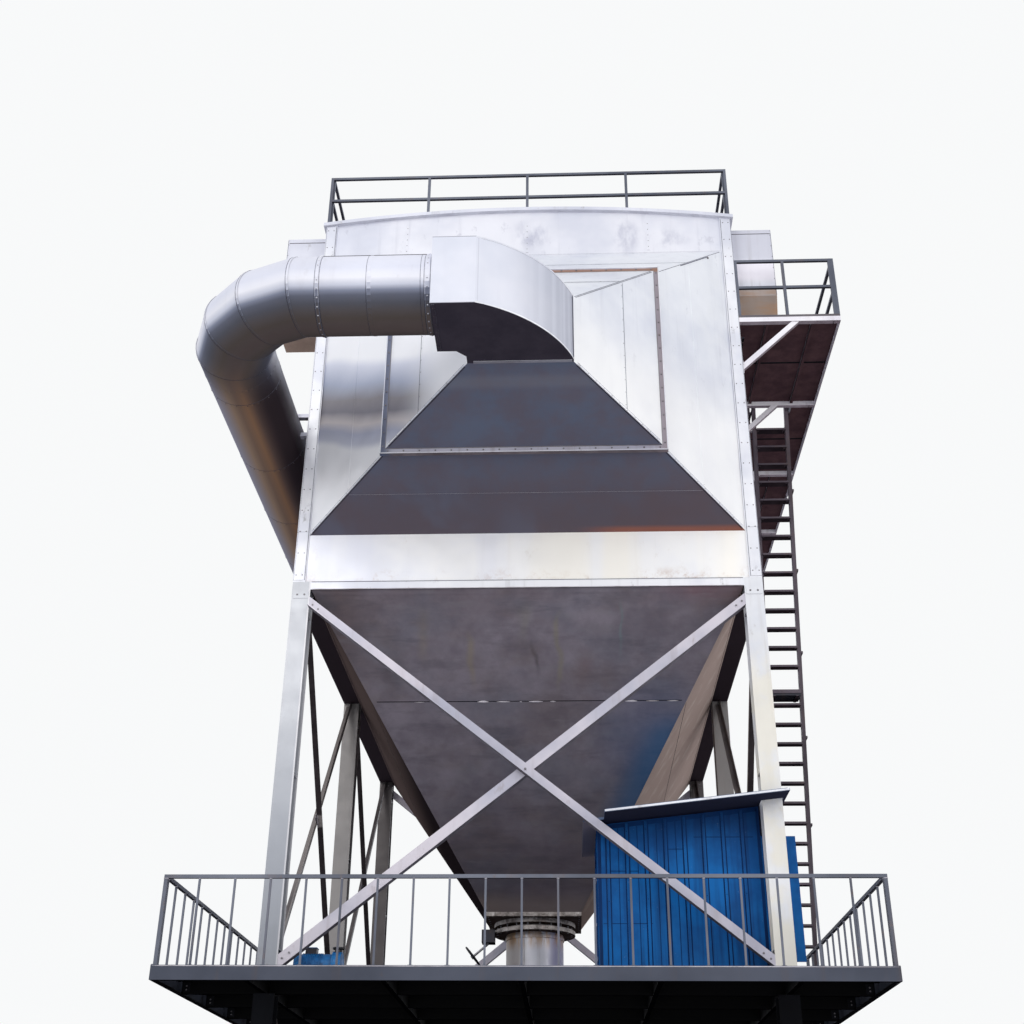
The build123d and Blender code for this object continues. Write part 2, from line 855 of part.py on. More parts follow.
# Insulator boxes: one a bay on each side, tapered at the foot
box_head = eaves - box_head_drop
box_shoulder = box_head - box_height
box_foot = box_shoulder - box_foot_height
for name, side in (("insulator_boxes_left", -1), ("insulator_boxes_right", 1)):
    with BuildPart() as boxes:
        box_x = sorted((side * wall_outer, side * (half_width + box_reach)))
        for bay in wall_bays:
            near = bay[0] + box_offset
            far = near + box_length
            with BuildSketch(sideways(box_x[0])):
                with BuildLine():
                    Polyline(
                        (near, box_head),
                        (far, box_head),
                        (far, box_shoulder),
                        (far - box_foot_reach, box_foot),
                        (near + box_foot_reach, box_foot),
                        (near, box_shoulder),
                        close=True,
                    )
                make_face()
            extrude(amount=extent(box_x))
    finish(boxes, name)

# Side platform on the right, with a hatch over the ladder
ladder_x = (ladder_inner_x, ladder_inner_x + ladder_width)
hatch_y = (ladder_head_y - hatch_front_gap, ladder_head_y - hatch_front_gap + hatch_length)
platform_x = (half_width, half_width + platform_width)
floor_foot = platform_top - platform_plate
edge_foot = platform_top - platform_edge_depth
with BuildPart() as platform_floor:
    with BuildSketch(level(floor_foot)):
        with Locations((middle(platform_x), middle((0, casing_length)))):
            Rectangle(extent(platform_x), casing_length)
        with Locations((middle(ladder_x), middle(hatch_y))):
            Rectangle(ladder_width + 2 * hatch_side_gap, hatch_length, mode=Mode.SUBTRACT)
    extrude(amount=platform_plate)
finish(platform_floor, "platform_floor")

with BuildPart() as platform_edge:
    edge_y = ((0, platform_edge_thickness), (casing_length - platform_edge_thickness, casing_length))
    for end in edge_y:
        block(platform_x, end, (edge_foot, floor_foot))
    block(
        (platform_x[1] - platform_edge_thickness, platform_x[1]),
        (0, casing_length),
        (edge_foot, floor_foot),
    )
finish(platform_edge, "platform_edge")

bracket_count = 2 * bay_count
with BuildPart() as platform_brackets:
    inner_y = (platform_edge_thickness, casing_length - platform_edge_thickness)
    for bracket in range(bracket_count + 1):
        travel = extent(inner_y) - platform_bracket_width
        near = inner_y[0] + bracket * travel / bracket_count
        with BuildSketch(upright(near)):
            outer = platform_x[1] - platform_edge_thickness
            with Locations(((half_width + outer) / 2, (edge_foot + floor_foot) / 2)):
                Rectangle(outer - half_width, floor_foot - edge_foot)
            knee_out = half_width + platform_bracket_out
            knee_foot = edge_foot - platform_bracket_drop
            with BuildLine():
                Polyline(
                    (half_width, knee_foot),
                    (half_width, knee_foot + 1.5 * platform_bracket_width),
                    (knee_out - 1.5 * platform_bracket_width, edge_foot),
                    (knee_out, edge_foot),
                    close=True,
                )
            make_face()
        extrude(amount=-platform_bracket_width)
finish(platform_brackets, "platform_brackets")

platform_rail_x = platform_x[1] - rail_bar / 2
platform_end_span = (half_width + rail_corner_gap, platform_rail_x - rail_bar / 2 - rail_corner_gap)
for name, planes, span, post_pitch in (
    ("platform_rail_side", [sideways(platform_rail_x)], (0, casing_length), guard_post_pitch),
    (
        "platform_rail_ends",
        [upright(y) for y in (rail_bar / 2, casing_length - rail_bar / 2)],
        platform_end_span,
        platform_end_post_pitch,
    ),
):
    with BuildPart() as platform_rail:
        for plane in planes:
            add(guard_rail(plane, span, platform_top, guard_height, post_pitch, True))
    finish(platform_rail, name)

# Seat for the ladder's outer stile, off the deck's edge
with BuildPart() as ladder_seat:
    block(
        (deck_half, ladder_x[1] + ladder_seat_margin),
        (ladder_foot_y - ladder_seat_length / 2, ladder_foot_y + ladder_seat_length / 2),
        (deck_frame_foot, deck_top),
    )
finish(ladder_seat, "ladder_seat")

# Ladder: two leaning stiles with treads, a landing half way, and a handrail
ladder_rise = edge_foot - deck_top
ladder_lean = (ladder_head_y - ladder_foot_y) / (platform_top - deck_top)


def ladder_y_at(height):
    """The middle of the stiles at a height above the deck."""
    return ladder_foot_y + ladder_lean * height


stile_head = platform_top + guard_height - deck_top
with BuildPart() as ladder_stiles:
    for x in (ladder_x[0], ladder_x[1] - stile_thickness):
        with BuildSketch(sideways(x)):
            with BuildLine():
                Polyline(
                    (ladder_y_at(0) - stile_depth / 2, deck_top),
                    (ladder_y_at(0) + stile_depth / 2, deck_top),
                    (ladder_y_at(stile_head) + stile_depth / 2, deck_top + stile_head),
                    (ladder_y_at(stile_head) - stile_depth / 2, deck_top + stile_head),
                    close=True,
                )
            make_face()
        extrude(amount=stile_thickness)
finish(ladder_stiles, "ladder_stiles")

tread_count = int(ladder_rise / tread_pitch)
tread_x = (ladder_x[0] + stile_thickness, ladder_x[1] - stile_thickness)
with BuildPart() as ladder_treads:
    for tread in range(1, tread_count + 1):
        height = tread * tread_pitch
        if abs(height - landing_height) > tread_pitch / 2:
            at = ladder_y_at(height)
            block(
                tread_x,
                (at - tread_depth / 2, at + tread_depth / 2),
                (deck_top + height - tread_thickness, deck_top + height),
            )
    landing_y = ladder_y_at(landing_height)
    block(
        tread_x,
        (landing_y - landing_depth / 2, landing_y + landing_depth / 2),
        (deck_top + landing_height - landing_thickness, deck_top + landing_height),
    )
finish(ladder_treads, "ladder_treads")

with BuildPart() as ladder_handrails:
    rail_head = platform_top + guard_height - deck_top
    for x in (ladder_x[0] - handrail_bar, ladder_x[1]):
        with BuildSketch(sideways(x)):
            with BuildLine():
                near = handrail_offset - handrail_bar / 2
                far = handrail_offset + handrail_bar / 2
                Polyline(
                    (ladder_y_at(handrail_foot) + near, deck_top + handrail_foot),
                    (ladder_y_at(handrail_foot) + far, deck_top + handrail_foot),
                    (ladder_y_at(rail_head) + far, deck_top + rail_head),
                    (ladder_y_at(rail_head) + near, deck_top + rail_head),
                    close=True,
                )
            make_face()
            for strut in range(handrail_struts):
                strut_height = handrail_foot + strut * (ladder_rise - handrail_foot) / (handrail_struts - 1)
                at = ladder_y_at(strut_height)
                with Locations((at + handrail_offset / 2, deck_top + strut_height + handrail_bar / 2)):
                    Rectangle(handrail_offset, handrail_bar)
        extrude(amount=handrail_bar)
finish(ladder_handrails, "ladder_handrails")

# Guard rail round the roof
roof_rail_half = half_width - rail_bar
roof_guard_top = eaves + roof_guard_height


def roof_top_at(x):
    """The height of the roof's upper face at x from its middle."""
    return roof_height_at(x) + roof_sheet


roof_rail_sides = (rail_bar + rail_corner_gap, casing_length - rail_bar - rail_corner_gap)
roof_rail_ends_y = (rail_bar / 2, casing_length - rail_bar / 2)
rail_seat = roof_top_at(roof_rail_half - rail_bar / 2)
rail_height = roof_guard_top - rail_seat
with BuildPart() as roof_rail_ends:
    for y in roof_rail_ends_y:
        end_span = (-half_width, half_width)
        add(guard_rail(upright(y), end_span, rail_seat, rail_height, guard_post_pitch, True, roof_top_at))
finish(roof_rail_ends, "roof_rail_ends")

with BuildPart() as roof_rail_side_pair:
    for x in (-roof_rail_half, roof_rail_half):
        add(guard_rail(sideways(x), roof_rail_sides, rail_seat, rail_height, roof_side_post_pitch, True))
finish(roof_rail_side_pair, "roof_rail_sides")

# Sheet-metal shed on the deck, with a lean-to roof notched round the column and the front brace
shed_x = (shed_left_x, shed_right_x)
shed_y = (shed_front_y, shed_front_y + shed_depth)
roof_slope = (shed_roof_right_height - shed_roof_left_height) / (shed_roof_right_x - shed_roof_left_x)


def shed_roof_foot(x):
    return deck_top + shed_roof_left_height + roof_slope * (x - shed_roof_left_x)


with BuildPart() as shed_walls:
    add(
        trunk_plates(
            (level(deck_top), shed_x, shed_y),
            (level(deck_top + shed_roof_right_height), shed_x, shed_y),
            shed_sheet,
        )
    )
    with BuildSketch(upright(shed_y[0])):
        with BuildLine():
            Polyline(
                (shed_x[0], shed_roof_foot(shed_x[0])),
                (shed_x[1], shed_roof_foot(shed_x[1])),
                (shed_x[1], deck_top + shed_roof_right_height),
                (shed_x[0], deck_top + shed_roof_right_height),
                close=True,
            )
        make_face()
    extrude(amount=-shed_depth, mode=Mode.SUBTRACT)
    block(
        (shed_x[1], shed_fin_right_x),
        (shed_y[0], shed_y[0] + shed_sheet),
        (deck_top + shed_fin_foot, deck_top + shed_fin_head),
    )
finish(shed_walls, "shed_walls")

with BuildPart() as shed_roof:
    with BuildSketch(upright(-shed_roof_front)):
        with BuildLine():
            Polyline(
                (shed_roof_left_x, shed_roof_foot(shed_roof_left_x)),
                (shed_roof_right_x, shed_roof_foot(shed_roof_right_x)),
                (shed_roof_right_x, shed_roof_foot(shed_roof_right_x) + shed_roof_sheet),
                (shed_roof_left_x, shed_roof_foot(shed_roof_left_x) + shed_roof_sheet),
                close=True,
            )
        make_face()
    extrude(amount=-(shed_roof_front + shed_y[1] + shed_roof_rear))
    with Locations(level(deck_top)):
        with Locations((half_width - column_size / 2, column_size / 2, shed_roof_right_height)):
            notch = column_size + 2 * shed_column_gap
            Box(notch, notch, 2 * shed_roof_right_height, mode=Mode.SUBTRACT)
        notch_x = (shed_roof_left_x, shed_roof_left_x + shed_brace_notch_width)
        notch_y = (-shed_roof_front, shed_brace_notch_rear)
        with Locations((middle(notch_x), middle(notch_y), shed_roof_left_height)):
            Box(extent(notch_x), extent(notch_y), shed_roof_left_height, mode=Mode.SUBTRACT)
finish(shed_roof, "shed_roof")

# Pump set on the deck, behind the left front column
pump_axis_z = deck_top + pump_base_height + volute_radius
with BuildPart() as pump_base:
    block(
        (pump_x - pump_length / 2, pump_x + pump_length / 2),
        (pump_y - pump_base_width / 2, pump_y + pump_base_width / 2),
        (deck_top, deck_top + pump_base_height),
    )
finish(pump_base, "pump_base")

with BuildPart() as pump_motor:
    motor_x = (pump_x - pump_length / 2, pump_x + pump_length / 2 - volute_width)
    with BuildSketch(sideways(motor_x[0])):
        with Locations((pump_y, pump_axis_z)):
            Circle(motor_radius)
        with Locations((pump_y, middle((deck_top + pump_base_height, pump_axis_z)))):
            Rectangle(motor_radius, pump_axis_z - deck_top - pump_base_height)
    extrude(amount=extent(motor_x))
    with BuildSketch(sideways(motor_x[1])):
        with Locations((pump_y, pump_axis_z)):
            Circle(volute_radius)
    extrude(amount=volute_width)
finish(pump_motor, "pump_motor")
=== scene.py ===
import math
import random

import bpy
from mathutils import Matrix, Vector


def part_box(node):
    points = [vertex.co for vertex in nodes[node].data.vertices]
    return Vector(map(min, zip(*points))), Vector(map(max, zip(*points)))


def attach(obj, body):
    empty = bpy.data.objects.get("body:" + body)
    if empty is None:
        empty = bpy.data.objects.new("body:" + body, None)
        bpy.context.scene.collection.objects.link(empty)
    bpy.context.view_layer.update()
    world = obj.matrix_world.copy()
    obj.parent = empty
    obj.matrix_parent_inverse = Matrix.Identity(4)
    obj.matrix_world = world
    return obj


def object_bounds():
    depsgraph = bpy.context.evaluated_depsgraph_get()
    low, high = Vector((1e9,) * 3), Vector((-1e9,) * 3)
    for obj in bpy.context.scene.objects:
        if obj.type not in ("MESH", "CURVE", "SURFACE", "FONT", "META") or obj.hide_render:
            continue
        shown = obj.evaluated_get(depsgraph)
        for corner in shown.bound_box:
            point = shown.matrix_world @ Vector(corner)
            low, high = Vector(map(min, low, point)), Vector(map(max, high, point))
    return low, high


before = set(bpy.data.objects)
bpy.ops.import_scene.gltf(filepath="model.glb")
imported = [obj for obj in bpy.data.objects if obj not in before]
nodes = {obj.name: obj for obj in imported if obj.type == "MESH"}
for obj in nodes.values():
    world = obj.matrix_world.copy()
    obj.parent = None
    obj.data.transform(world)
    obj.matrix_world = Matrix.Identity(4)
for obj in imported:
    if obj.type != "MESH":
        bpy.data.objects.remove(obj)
cad_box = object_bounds()
finishes = {}

# Casing coordinates: x from the casing's middle, y back from its front face, h above the deck's top
columns_low, columns_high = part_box("columns")
ORIGIN = Vector(((columns_low.x + columns_high.x) / 2, columns_low.y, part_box("deck_plate")[1].z))
HALF = (columns_high.x - columns_low.x) / 2
LENGTH = columns_high.y - columns_low.y
SIDES = (-1, 1)
UP, DOWN, RIGHT, AHEAD = (0, 0, 1), (0, 0, -1), (1, 0, 0), (0, -1, 0)


def local(box):
    """The lowest and highest corners of a node's box, in casing coordinates."""
    return [corner - ORIGIN for corner in box]


def rgb(code):
    """A screen colour such as "ff8000", as the linear colour that a shader takes."""
    def linear(value):
        value /= 255
        return value / 12.92 if value <= 0.04045 else ((value + 0.055) / 1.055) ** 2.4
    return (*(linear(value) for value in bytes.fromhex(code)), 1.0)


def spread(start, end, count):
    """Evenly spaced numbers from start to end, both included."""
    return [start + (end - start) * step / (count - 1) for step in range(count)]


def circle(count, turn=0.0):
    """The sine and cosine pairs of evenly spaced angles, each as (cosine, sine)."""
    angles = [2 * math.pi * (step + turn) / count for step in range(count)]
    return [(math.cos(angle), math.sin(angle)) for angle in angles]


class Build:
    """Gathers faces in casing coordinates with their materials, and makes one mesh object of them."""

    def __init__(self, name, materials):
        self.name = name
        self.materials = [finishes[material] for material in materials.split()]
        self.points, self.faces, self.finish, self.smooth = [], [], [], []

    def add(self, points, faces, material=0, smooth=False):
        start = len(self.points)
        self.points += [Vector(point) for point in points]
        self.faces += [[start + index for index in face] for face in faces]
        self.finish += [material] * len(faces)
        self.smooth += [smooth] * len(faces)

    def box(self, first, second, material=0):
        spans = [sorted(pair) for pair in zip(first, second)]
        points = [(x, y, h) for h in spans[2] for y in spans[1] for x in spans[0]]
        faces = [(0, 2, 3, 1), (4, 5, 7, 6), (0, 1, 5, 4), (2, 6, 7, 3), (0, 4, 6, 2), (1, 3, 7, 5)]
        self.add(points, faces, material)

    def bar(self, start, end, width, thickness, normal, material=0):
        """A flat bar: width across it in the surface it lies on, thickness along that surface's normal."""
        start, end, normal = Vector(start), Vector(end), Vector(normal).normalized()
        along = (end - start).normalized()
        across = along.cross(normal).normalized() * width / 2
        high = across.cross(along).normalized() * thickness
        ring = [-across, across, across + high, -across + high]
        points = [place + corner for place in (start, end) for corner in ring]
        sides = [(k, (k + 1) % 4, (k + 1) % 4 + 4, k + 4) for k in range(4)]
        self.add(points, [(3, 2, 1, 0), (4, 5, 6, 7), *sides], material)

    def plate(self, corners, thickness, normal, material=0):
        """A flat plate: its corners lie on the face it sits on, and it stands out along the normal."""
        low = [Vector(corner) for corner in corners]
        high = [corner + Vector(normal) * thickness for corner in low]
        if (low[1] - low[0]).cross(low[2] - low[1]).dot(Vector(normal)) < 0:
            low, high = low[::-1], high[::-1]
        self.loft([low, high], material, smooth=False)

    def loft(self, rings, material=0, smooth=True, closed=True, caps=True):
        """Skins a row of rings that have as many points each."""
        size = len(rings[0])
        faces = []
        for row in range(len(rings) - 1):
            for step in range(size if closed else size - 1):
                here, there = row * size + step, row * size + (step + 1) % size
                faces.append((here, there, there + size, here + size))
        self.add([point for ring in rings for point in ring], faces, material, smooth)
        if caps:
            self.add(rings[0], [tuple(reversed(range(size)))], material)
            self.add(rings[-1], [tuple(range(size))], material)

    def ring(self, centre, axis, radius, count):
        side = axis.orthogonal().normalized()
        up = axis.cross(side)
        return [Vector(centre) + radius * (c * side + s * up) for c, s in circle(count)]

    def turned(self, centre, axis, profile, count=16, material=0, smooth=True):
        """A turned piece: profile is a row of (distance along the axis, radius)."""
        axis = Vector(axis).normalized()
        rings = [self.ring(Vector(centre) + axis * far, axis, radius, count) for far, radius in profile]
        self.loft(rings, material, smooth)

    def rod(self, start, end, radius, count=10, material=0):
        axis = Vector(end) - Vector(start)
        self.turned(start, axis, [(0, radius), (axis.length, radius)], count, material)

    def bolt(self, centre, axis, size, material=1, washer=True):
        """A hexagon head with a chamfer, on a round washer that is seated at the centre."""
        seat, height = size * 0.14, size * 0.62
        if washer:
            self.turned(centre, axis, [(0, size * 1.05), (seat, size * 1.05)], 12, material, False)
        head = [(seat, size * 0.92), (height * 0.8, size * 0.92), (height, size * 0.78)]
        self.turned(centre, axis, head, 6, material, False)

    def bolts(self, across, along, heights, axis, size, material=1):
        """A bolt at each crossing of the given x, y and h values."""
        for x in across:
            for y in along:
                for h in heights:
                    self.bolt((x, y, h), axis, size, material)

    def rivet(self, centre, axis, radius, material=1):
        head = [(0.0, radius), (0.35 * radius, 0.85 * radius), (0.6 * radius, 0.45 * radius)]
        self.turned(centre, axis, head, 7, material)

    def rivets(self, start, end, pitch, axis, radius, material=1, inset=0.05):
        start, end = Vector(start), Vector(end)
        length = (end - start).length
        count = max(2, round((length - 2 * inset) / pitch) + 1)
        for far in spread(inset, length - inset, count):
            self.rivet(start + (end - start) * far / length, axis, radius, material)

    def bead(self, start, end, radius, normal, material=2, pitch=0.05, seed=1):
        """A weld bead: a low half-round whose width and height waver along the seam."""
        rng = random.Random(seed)
        start, end, normal = Vector(start), Vector(end), Vector(normal).normalized()
        across = (end - start).normalized().cross(normal).normalized()
        count = max(2, int((end - start).length / pitch))
        rings = []
        for step in range(count + 1):
            middle = start.lerp(end, step / count)
            wide = radius * rng.uniform(0.7, 1.2)
            high = radius * rng.uniform(0.45, 0.8)
            if step in (0, count):
                wide, high = wide * 0.3, high * 0.3
            rings.append([middle + across * wide * c + normal * high * s for c, s in circle(10)[:6]])
        self.loft(rings, material, smooth=True, closed=False, caps=False)

    def done(self, bevel=0.0):
        """Makes the object, which is cut off at the CAD model's box in front."""
        mesh = bpy.data.meshes.new(self.name)
        places = [point + ORIGIN for point in self.points]
        mesh.from_pydata([(x, max(y, cad_box[0].y), z) for x, y, z in places], [], self.faces)
        for material in self.materials:
            mesh.materials.append(material)
        mesh.polygons.foreach_set("material_index", self.finish)
        mesh.polygons.foreach_set("use_smooth", self.smooth)
        mesh.update()
        piece = bpy.data.objects.new(self.name, mesh)
        bpy.context.scene.collection.objects.link(piece)
        if bevel:
            rounding = piece.modifiers.new("edges", "BEVEL")
            rounding.width = bevel
            rounding.segments = 1
            rounding.limit_method = "ANGLE"
            rounding.angle_limit = math.radians(50)
        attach(piece, "root")
        return piece


class Shader:
    """A material's node tree, written as expressions: each method returns the socket it made."""

    def __init__(self, name):
        self.material = finishes[name] = bpy.data.materials.new(name)
        self.material.use_nodes = True
        self.tree = self.material.node_tree
        self.tree.nodes.clear()
        self.coords = self.node("ShaderNodeTexCoord").outputs["Object"]
        self.place = self.vector("SUBTRACT", self.coords, tuple(ORIGIN))
        self.x, self.y, self.h = self.node("ShaderNodeSeparateXYZ", self.place).outputs
        normal = self.node("ShaderNodeNewGeometry").outputs["Normal"]
        self.nx, self.ny, self.nz = self.node("ShaderNodeSeparateXYZ", normal).outputs

    def node(self, kind, *values, **settings):
        made = self.tree.nodes.new(kind)
        for key, value in settings.items():
            setattr(made, key, value)
        for socket, value in zip(made.inputs, values):
            self.put(socket, value)
        return made

    def put(self, socket, value):
        if isinstance(value, bpy.types.NodeSocket):
            self.tree.links.new(value, socket)
        else:
            socket.default_value = value

    def fill(self, node, **values):
        """Sets a node's inputs by name, with an underscore for each space in it."""
        for name, value in values.items():
            self.put(node.inputs[name.replace("_", " ")], value)

    def math(self, operation, *values):
        return self.node("ShaderNodeMath", *values, operation=operation).outputs[0]

    def times(self, first, *others):
        for value in others:
            first = self.math("MULTIPLY", first, value)
        return first

    def rest(self, value):
        return self.math("SUBTRACT", 1.0, value)

    def vector(self, operation, *values, output=0):
        return self.node("ShaderNodeVectorMath", *values, operation=operation).outputs[output]

    def noise(self, scale=1.0, detail=3.0, rough=0.5, stretch=None, offset=(0, 0, 0), distortion=0.0):
        where = self.coords
        if stretch:
            where = self.vector("ADD", self.vector("MULTIPLY", where, stretch), offset)
        made = self.node("ShaderNodeTexNoise")
        self.fill(made, Vector=where, Scale=scale, Detail=detail, Roughness=rough, Distortion=distortion)
        return made.outputs[0]

    def span(self, value, low, high, to_low=0.0, to_high=1.0, smooth=True):
        """The value's place between low and high, led to the place between two other values."""
        kind = "SMOOTHSTEP" if smooth else "LINEAR"
        made = self.node("ShaderNodeMapRange", value, low, high, to_low, to_high, interpolation_type=kind)
        return made.outputs[0]

    def spots(self, low, high, *noise, to=(0.0, 1.0), **more):
        """0 to 1, or another span, where a noise passes from low to high."""
        return self.span(self.noise(*noise, **more), low, high, *to)

    def mix(self, share, first, second):
        made = self.node("ShaderNodeMix", share, data_type="RGBA", blend_type="MIX")
        self.put(made.inputs[6], first)
        self.put(made.inputs[7], second)
        return made.outputs[2]

    def ramp(self, value, stops):
        """Colours along a value: stops are (place, colour) with places from -1 to 1."""
        made = self.node("ShaderNodeValToRGB", self.span(value, -1.0, 1.0, smooth=False))
        band = made.color_ramp
        while len(band.elements) < len(stops):
            band.elements.new(0.5)
        for element, (place, colour) in zip(band.elements, stops):
            element.position = (place + 1) / 2
            element.color = rgb(colour)
        return made.outputs[0]

    def tints(self, colour, *rows):
        """The colour after each row's change: shares to be multiplied, and last the colour they lead to."""
        for *shares, towards in rows:
            colour = self.mix(self.times(*shares), colour, rgb(towards))
        return colour

    def patch(self, centre, radii, edge=0.2):
        """1 at the centre of a soft oval patch, and 0 outside it."""
        away = self.vector("SUBTRACT", self.place, centre)
        length = self.vector("LENGTH", self.vector("DIVIDE", away, radii), output="Value")
        return self.span(length, edge, 1.0, 1.0, 0.0)

    def away(self, value, middle=0.0):
        return self.math("ABSOLUTE", self.math("SUBTRACT", value, middle))

    def line(self, value, where, half, soft):
        """1 on a thin line where value equals a number, and 0 away from it."""
        return self.span(self.away(value, where), half, half + soft, 1.0, 0.0)

    def surface(self, colour, roughness, metallic, bumps, specular, wearers):
        """Ends the material and puts it on the named CAD nodes. A bump is (height, strength, distance)."""
        shader = self.node("ShaderNodeBsdfPrincipled")
        self.fill(shader, Base_Color=colour, Roughness=roughness, Metallic=metallic)
        self.fill(shader, Specular_IOR_Level=specular)
        normal = None
        for height, strength, distance in bumps:
            bump = self.node("ShaderNodeBump")
            self.fill(bump, Strength=strength, Distance=distance, Height=height)
            if normal:
                self.fill(bump, Normal=normal)
            normal = bump.outputs[0]
        self.fill(shader, Normal=normal)
        self.tree.links.new(shader.outputs[0], self.node("ShaderNodeOutputMaterial").inputs[0])
        for name in wearers.split():
            mesh = nodes[name].data
            if not len(mesh.materials):
                mesh.materials.append(None)
            for index in range(len(mesh.materials)):
                mesh.materials[index] = self.material


# Colours of the duct's painted reflection on the casing's left side, from low to high
BAND_STOPS = ((-1.0, "d8dbe8"), (-0.85, "c8cbda"), (-0.64, "a6aabe"), (-0.44, "c0b8b8"), (-0.2, "64606c"),
              (0.06, "767176"), (0.4, "9ea6bc"), (0.8, "d6d9e7"), (1.0, "dee0ec"))
# Colours along the run's sideways normal: the casing's painted reflection on the run's underside
RUN_STOPS = ((-1.0, "9c9cac"), (-0.8, "908f9d"), (-0.55, "8e868a"), (-0.3, "927c6a"), (-0.08, "7a6456"),
             (0.14, "886850"), (0.34, "66534b"), (0.6, "423839"), (1.0, "362e31"))
# Colours along the duct's normal height: painted light and reflection, a bright band over a dark brown
# underside
DUCT_STOPS = ((-1.0, "564c4a"), (-0.985, "564d4b"), (-0.94, "544c48"), (-0.85, "565152"), (-0.73, "54555d"),
              (-0.58, "606370"), (-0.48, "808596"), (-0.36, "c4c7d4"), (-0.18, "e4e4eb"), (0.12, "d8dae6"),
              (1.0, "e2e2ec"))
deck_low, deck_high = local(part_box("deck_plate"))
elbow_low, elbow_high = local(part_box("inlet_elbow"))
pipe_top = local(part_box("dust_pipe"))[1].z


def painted_duct_reflection(s, colour, share):
    """The casing's left side mirrors the duct: blue, brown and pale bands, level as the photo shows them."""
    # The bands are a painted reflection of the duct
    sway = s.spots(0.3, 0.7, 0.7, 2.0, 0.5, to=(-0.05, 0.05))
    level = s.math("ADD", s.math("ADD", s.h, s.times(s.y, -0.63)), sway)
    inside = s.times(s.span(level, 7.3, 7.45), s.span(level, 8.9, 8.7), s.span(s.x, -0.95, -1.7), share)
    return s.mix(inside, colour, s.ramp(s.span(level, 7.3, 8.9, -1.0, 1.0, smooth=False), BAND_STOPS))


def gable_marks(s, colour, turned):
    """Bluish-grey blotches for smudges and for painted shade where the sheets are dented, a brown stain, the
    duct's painted reflection low on the left sheet and a painted pool of light on the right.
    """
    blotch = s.spots(0.38, 0.62, 1.8, 4.0, 0.62, (1.6, 1, 0.9))
    # Bluish-grey blotches: smudges, and painted shade where the sheets are dented
    for x, h, wide, high, share in ((0.08, 11.2, 0.42, 0.4, 0.5), (1.55, 11.14, 0.3, 0.45, 0.55),
                                    (2.2, 11.08, 0.45, 0.3, 0.4), (2.9, 10.3, 0.22, 0.6, 0.3),
                                    (-2.4, 10.3, 0.5, 0.25, 0.3), (2.55, 7.3, 0.35, 0.5, 0.2)):
        colour = s.tints(colour, (s.patch((x, 0, h), (wide, 1.5, high)), blotch, share, "9698b0"))
    colour = s.tints(colour, (s.patch((2.93, 0, 9.71), (0.22, 1.5, 0.4)), blotch, 0.7, "aa9680"))
    # The large near-white patch on the right is a painted pool of light
    return s.tints(painted_duct_reflection(s, colour, 0.9), (s.patch((2.8, 0, 7.4), (2.2, 2.0, 3.6), 0.3), 0.85, "fffdf9"))


def band_marks(s, colour, turned):
    """A thin line of rust along the foot, painted lilac reflections in upright washes on the left and painted
    warm light on the right.
    """
    return s.tints(
        colour,
        (s.span(s.h, 5.19, 5.42, 1.0, 0.0), s.spots(0.5, 0.68, 3.0, 6.0, 0.75), 0.55, "b08a6a"),
        # Painted reflections on the left and painted light on the right, in soft upright washes
        (s.spots(0.5, 0.64, 1.6, 2.0, 0.5, (1, 1, 0.05), (3, 0, 0)), s.span(s.x, 0.3, -0.6), 0.35, "e4e6f3"),
        (s.spots(0.46, 0.62, 1.3, 2.0, 0.5, (1, 1, 0.05), (9, 4, 0)), s.span(s.x, -0.6, 0.6), 0.7, "fffaee"))


def horn_marks(s, colour, turned):
    """Painted light on the upright sides and the duct's painted reflection on the left ones; on the
    undersides painted shade low and high, brown bloom, rust at the right foot, a painted bluish sheen and a
    paler line.
    """
    upright = s.rest(turned)
    low = s.times(s.span(s.h, 6.7, 5.95), turned)
    # Noise for a painted bluish sheen on the undersides
    painted_sheen = s.spots(0.5, 0.72, 0.8, 3.0, 0.55, (1, 1, 1), (7.7, 1.2, 3.3), distortion=0.6)
    # Painted light: the left-facing upright sides whitened
    colour = s.tints(colour, (s.span(s.nx, -0.3, -0.6), upright, 0.85, "fcfcfe"))
    return s.tints(
        painted_duct_reflection(s, colour, s.times(upright, 0.92)),
        # Painted light: the right-facing upright sides paler low down
        (s.span(s.nx, 0.3, 0.6), s.span(s.h, 8.6, 7.2), upright, 0.6, "fffdf9"),
        # Painted shade: undersides darker low down
        (low, 0.8, "5c5258"),
        (low, s.spots(0.42, 0.62, 0.9, 3.0, 0.6), s.span(s.x, -0.5, 1.2), 0.3, "645252"),
        (s.span(s.h, 5.975, 5.93), turned, s.span(s.x, 0.6, 1.4), 0.5, "aa6242"),
        # Painted sheen on the undersides
        (painted_sheen, turned, 0.35, "626c80"),
        # Painted shade: undersides darker high up
        (s.span(s.h, 7.0, 7.3), turned, 0.6, "4e5465"),
        (s.line(s.h, 7.02, 0.012, 0.05), turned, 0.3, "7c7c84"))


def elbow_marks(s, colour, turned):
    """Thin laps and folded edges drawn on the flat front, and painted shade on the curve that darkens to the
    right, with pale upright streaks.
    """
    side = s.span(s.nx, 0.45, 1.0)
    edge = s.math("MAXIMUM", s.span(s.h, elbow_high.z - 0.012, elbow_high.z - 0.005),
                  s.span(s.h, elbow_low.z + 0.012, elbow_low.z + 0.005))
    return s.tints(
        colour,
        # Painted shade on the right-facing curve
        (side, s.rest(turned), 0.85, "a8abb8"),
        (side, s.spots(0.4, 0.66, 1.0, 2.0, 0.5, (9, 9, 0.02)), 0.35, "e2e4ee"),
        (s.line(s.x, -0.47, 0.004, 0.004), s.span(s.ny, -0.9, -0.99), 0.8, "707280"),
        (edge, s.span(s.away(s.nz), 0.6, 0.4), 0.75, "686674"))


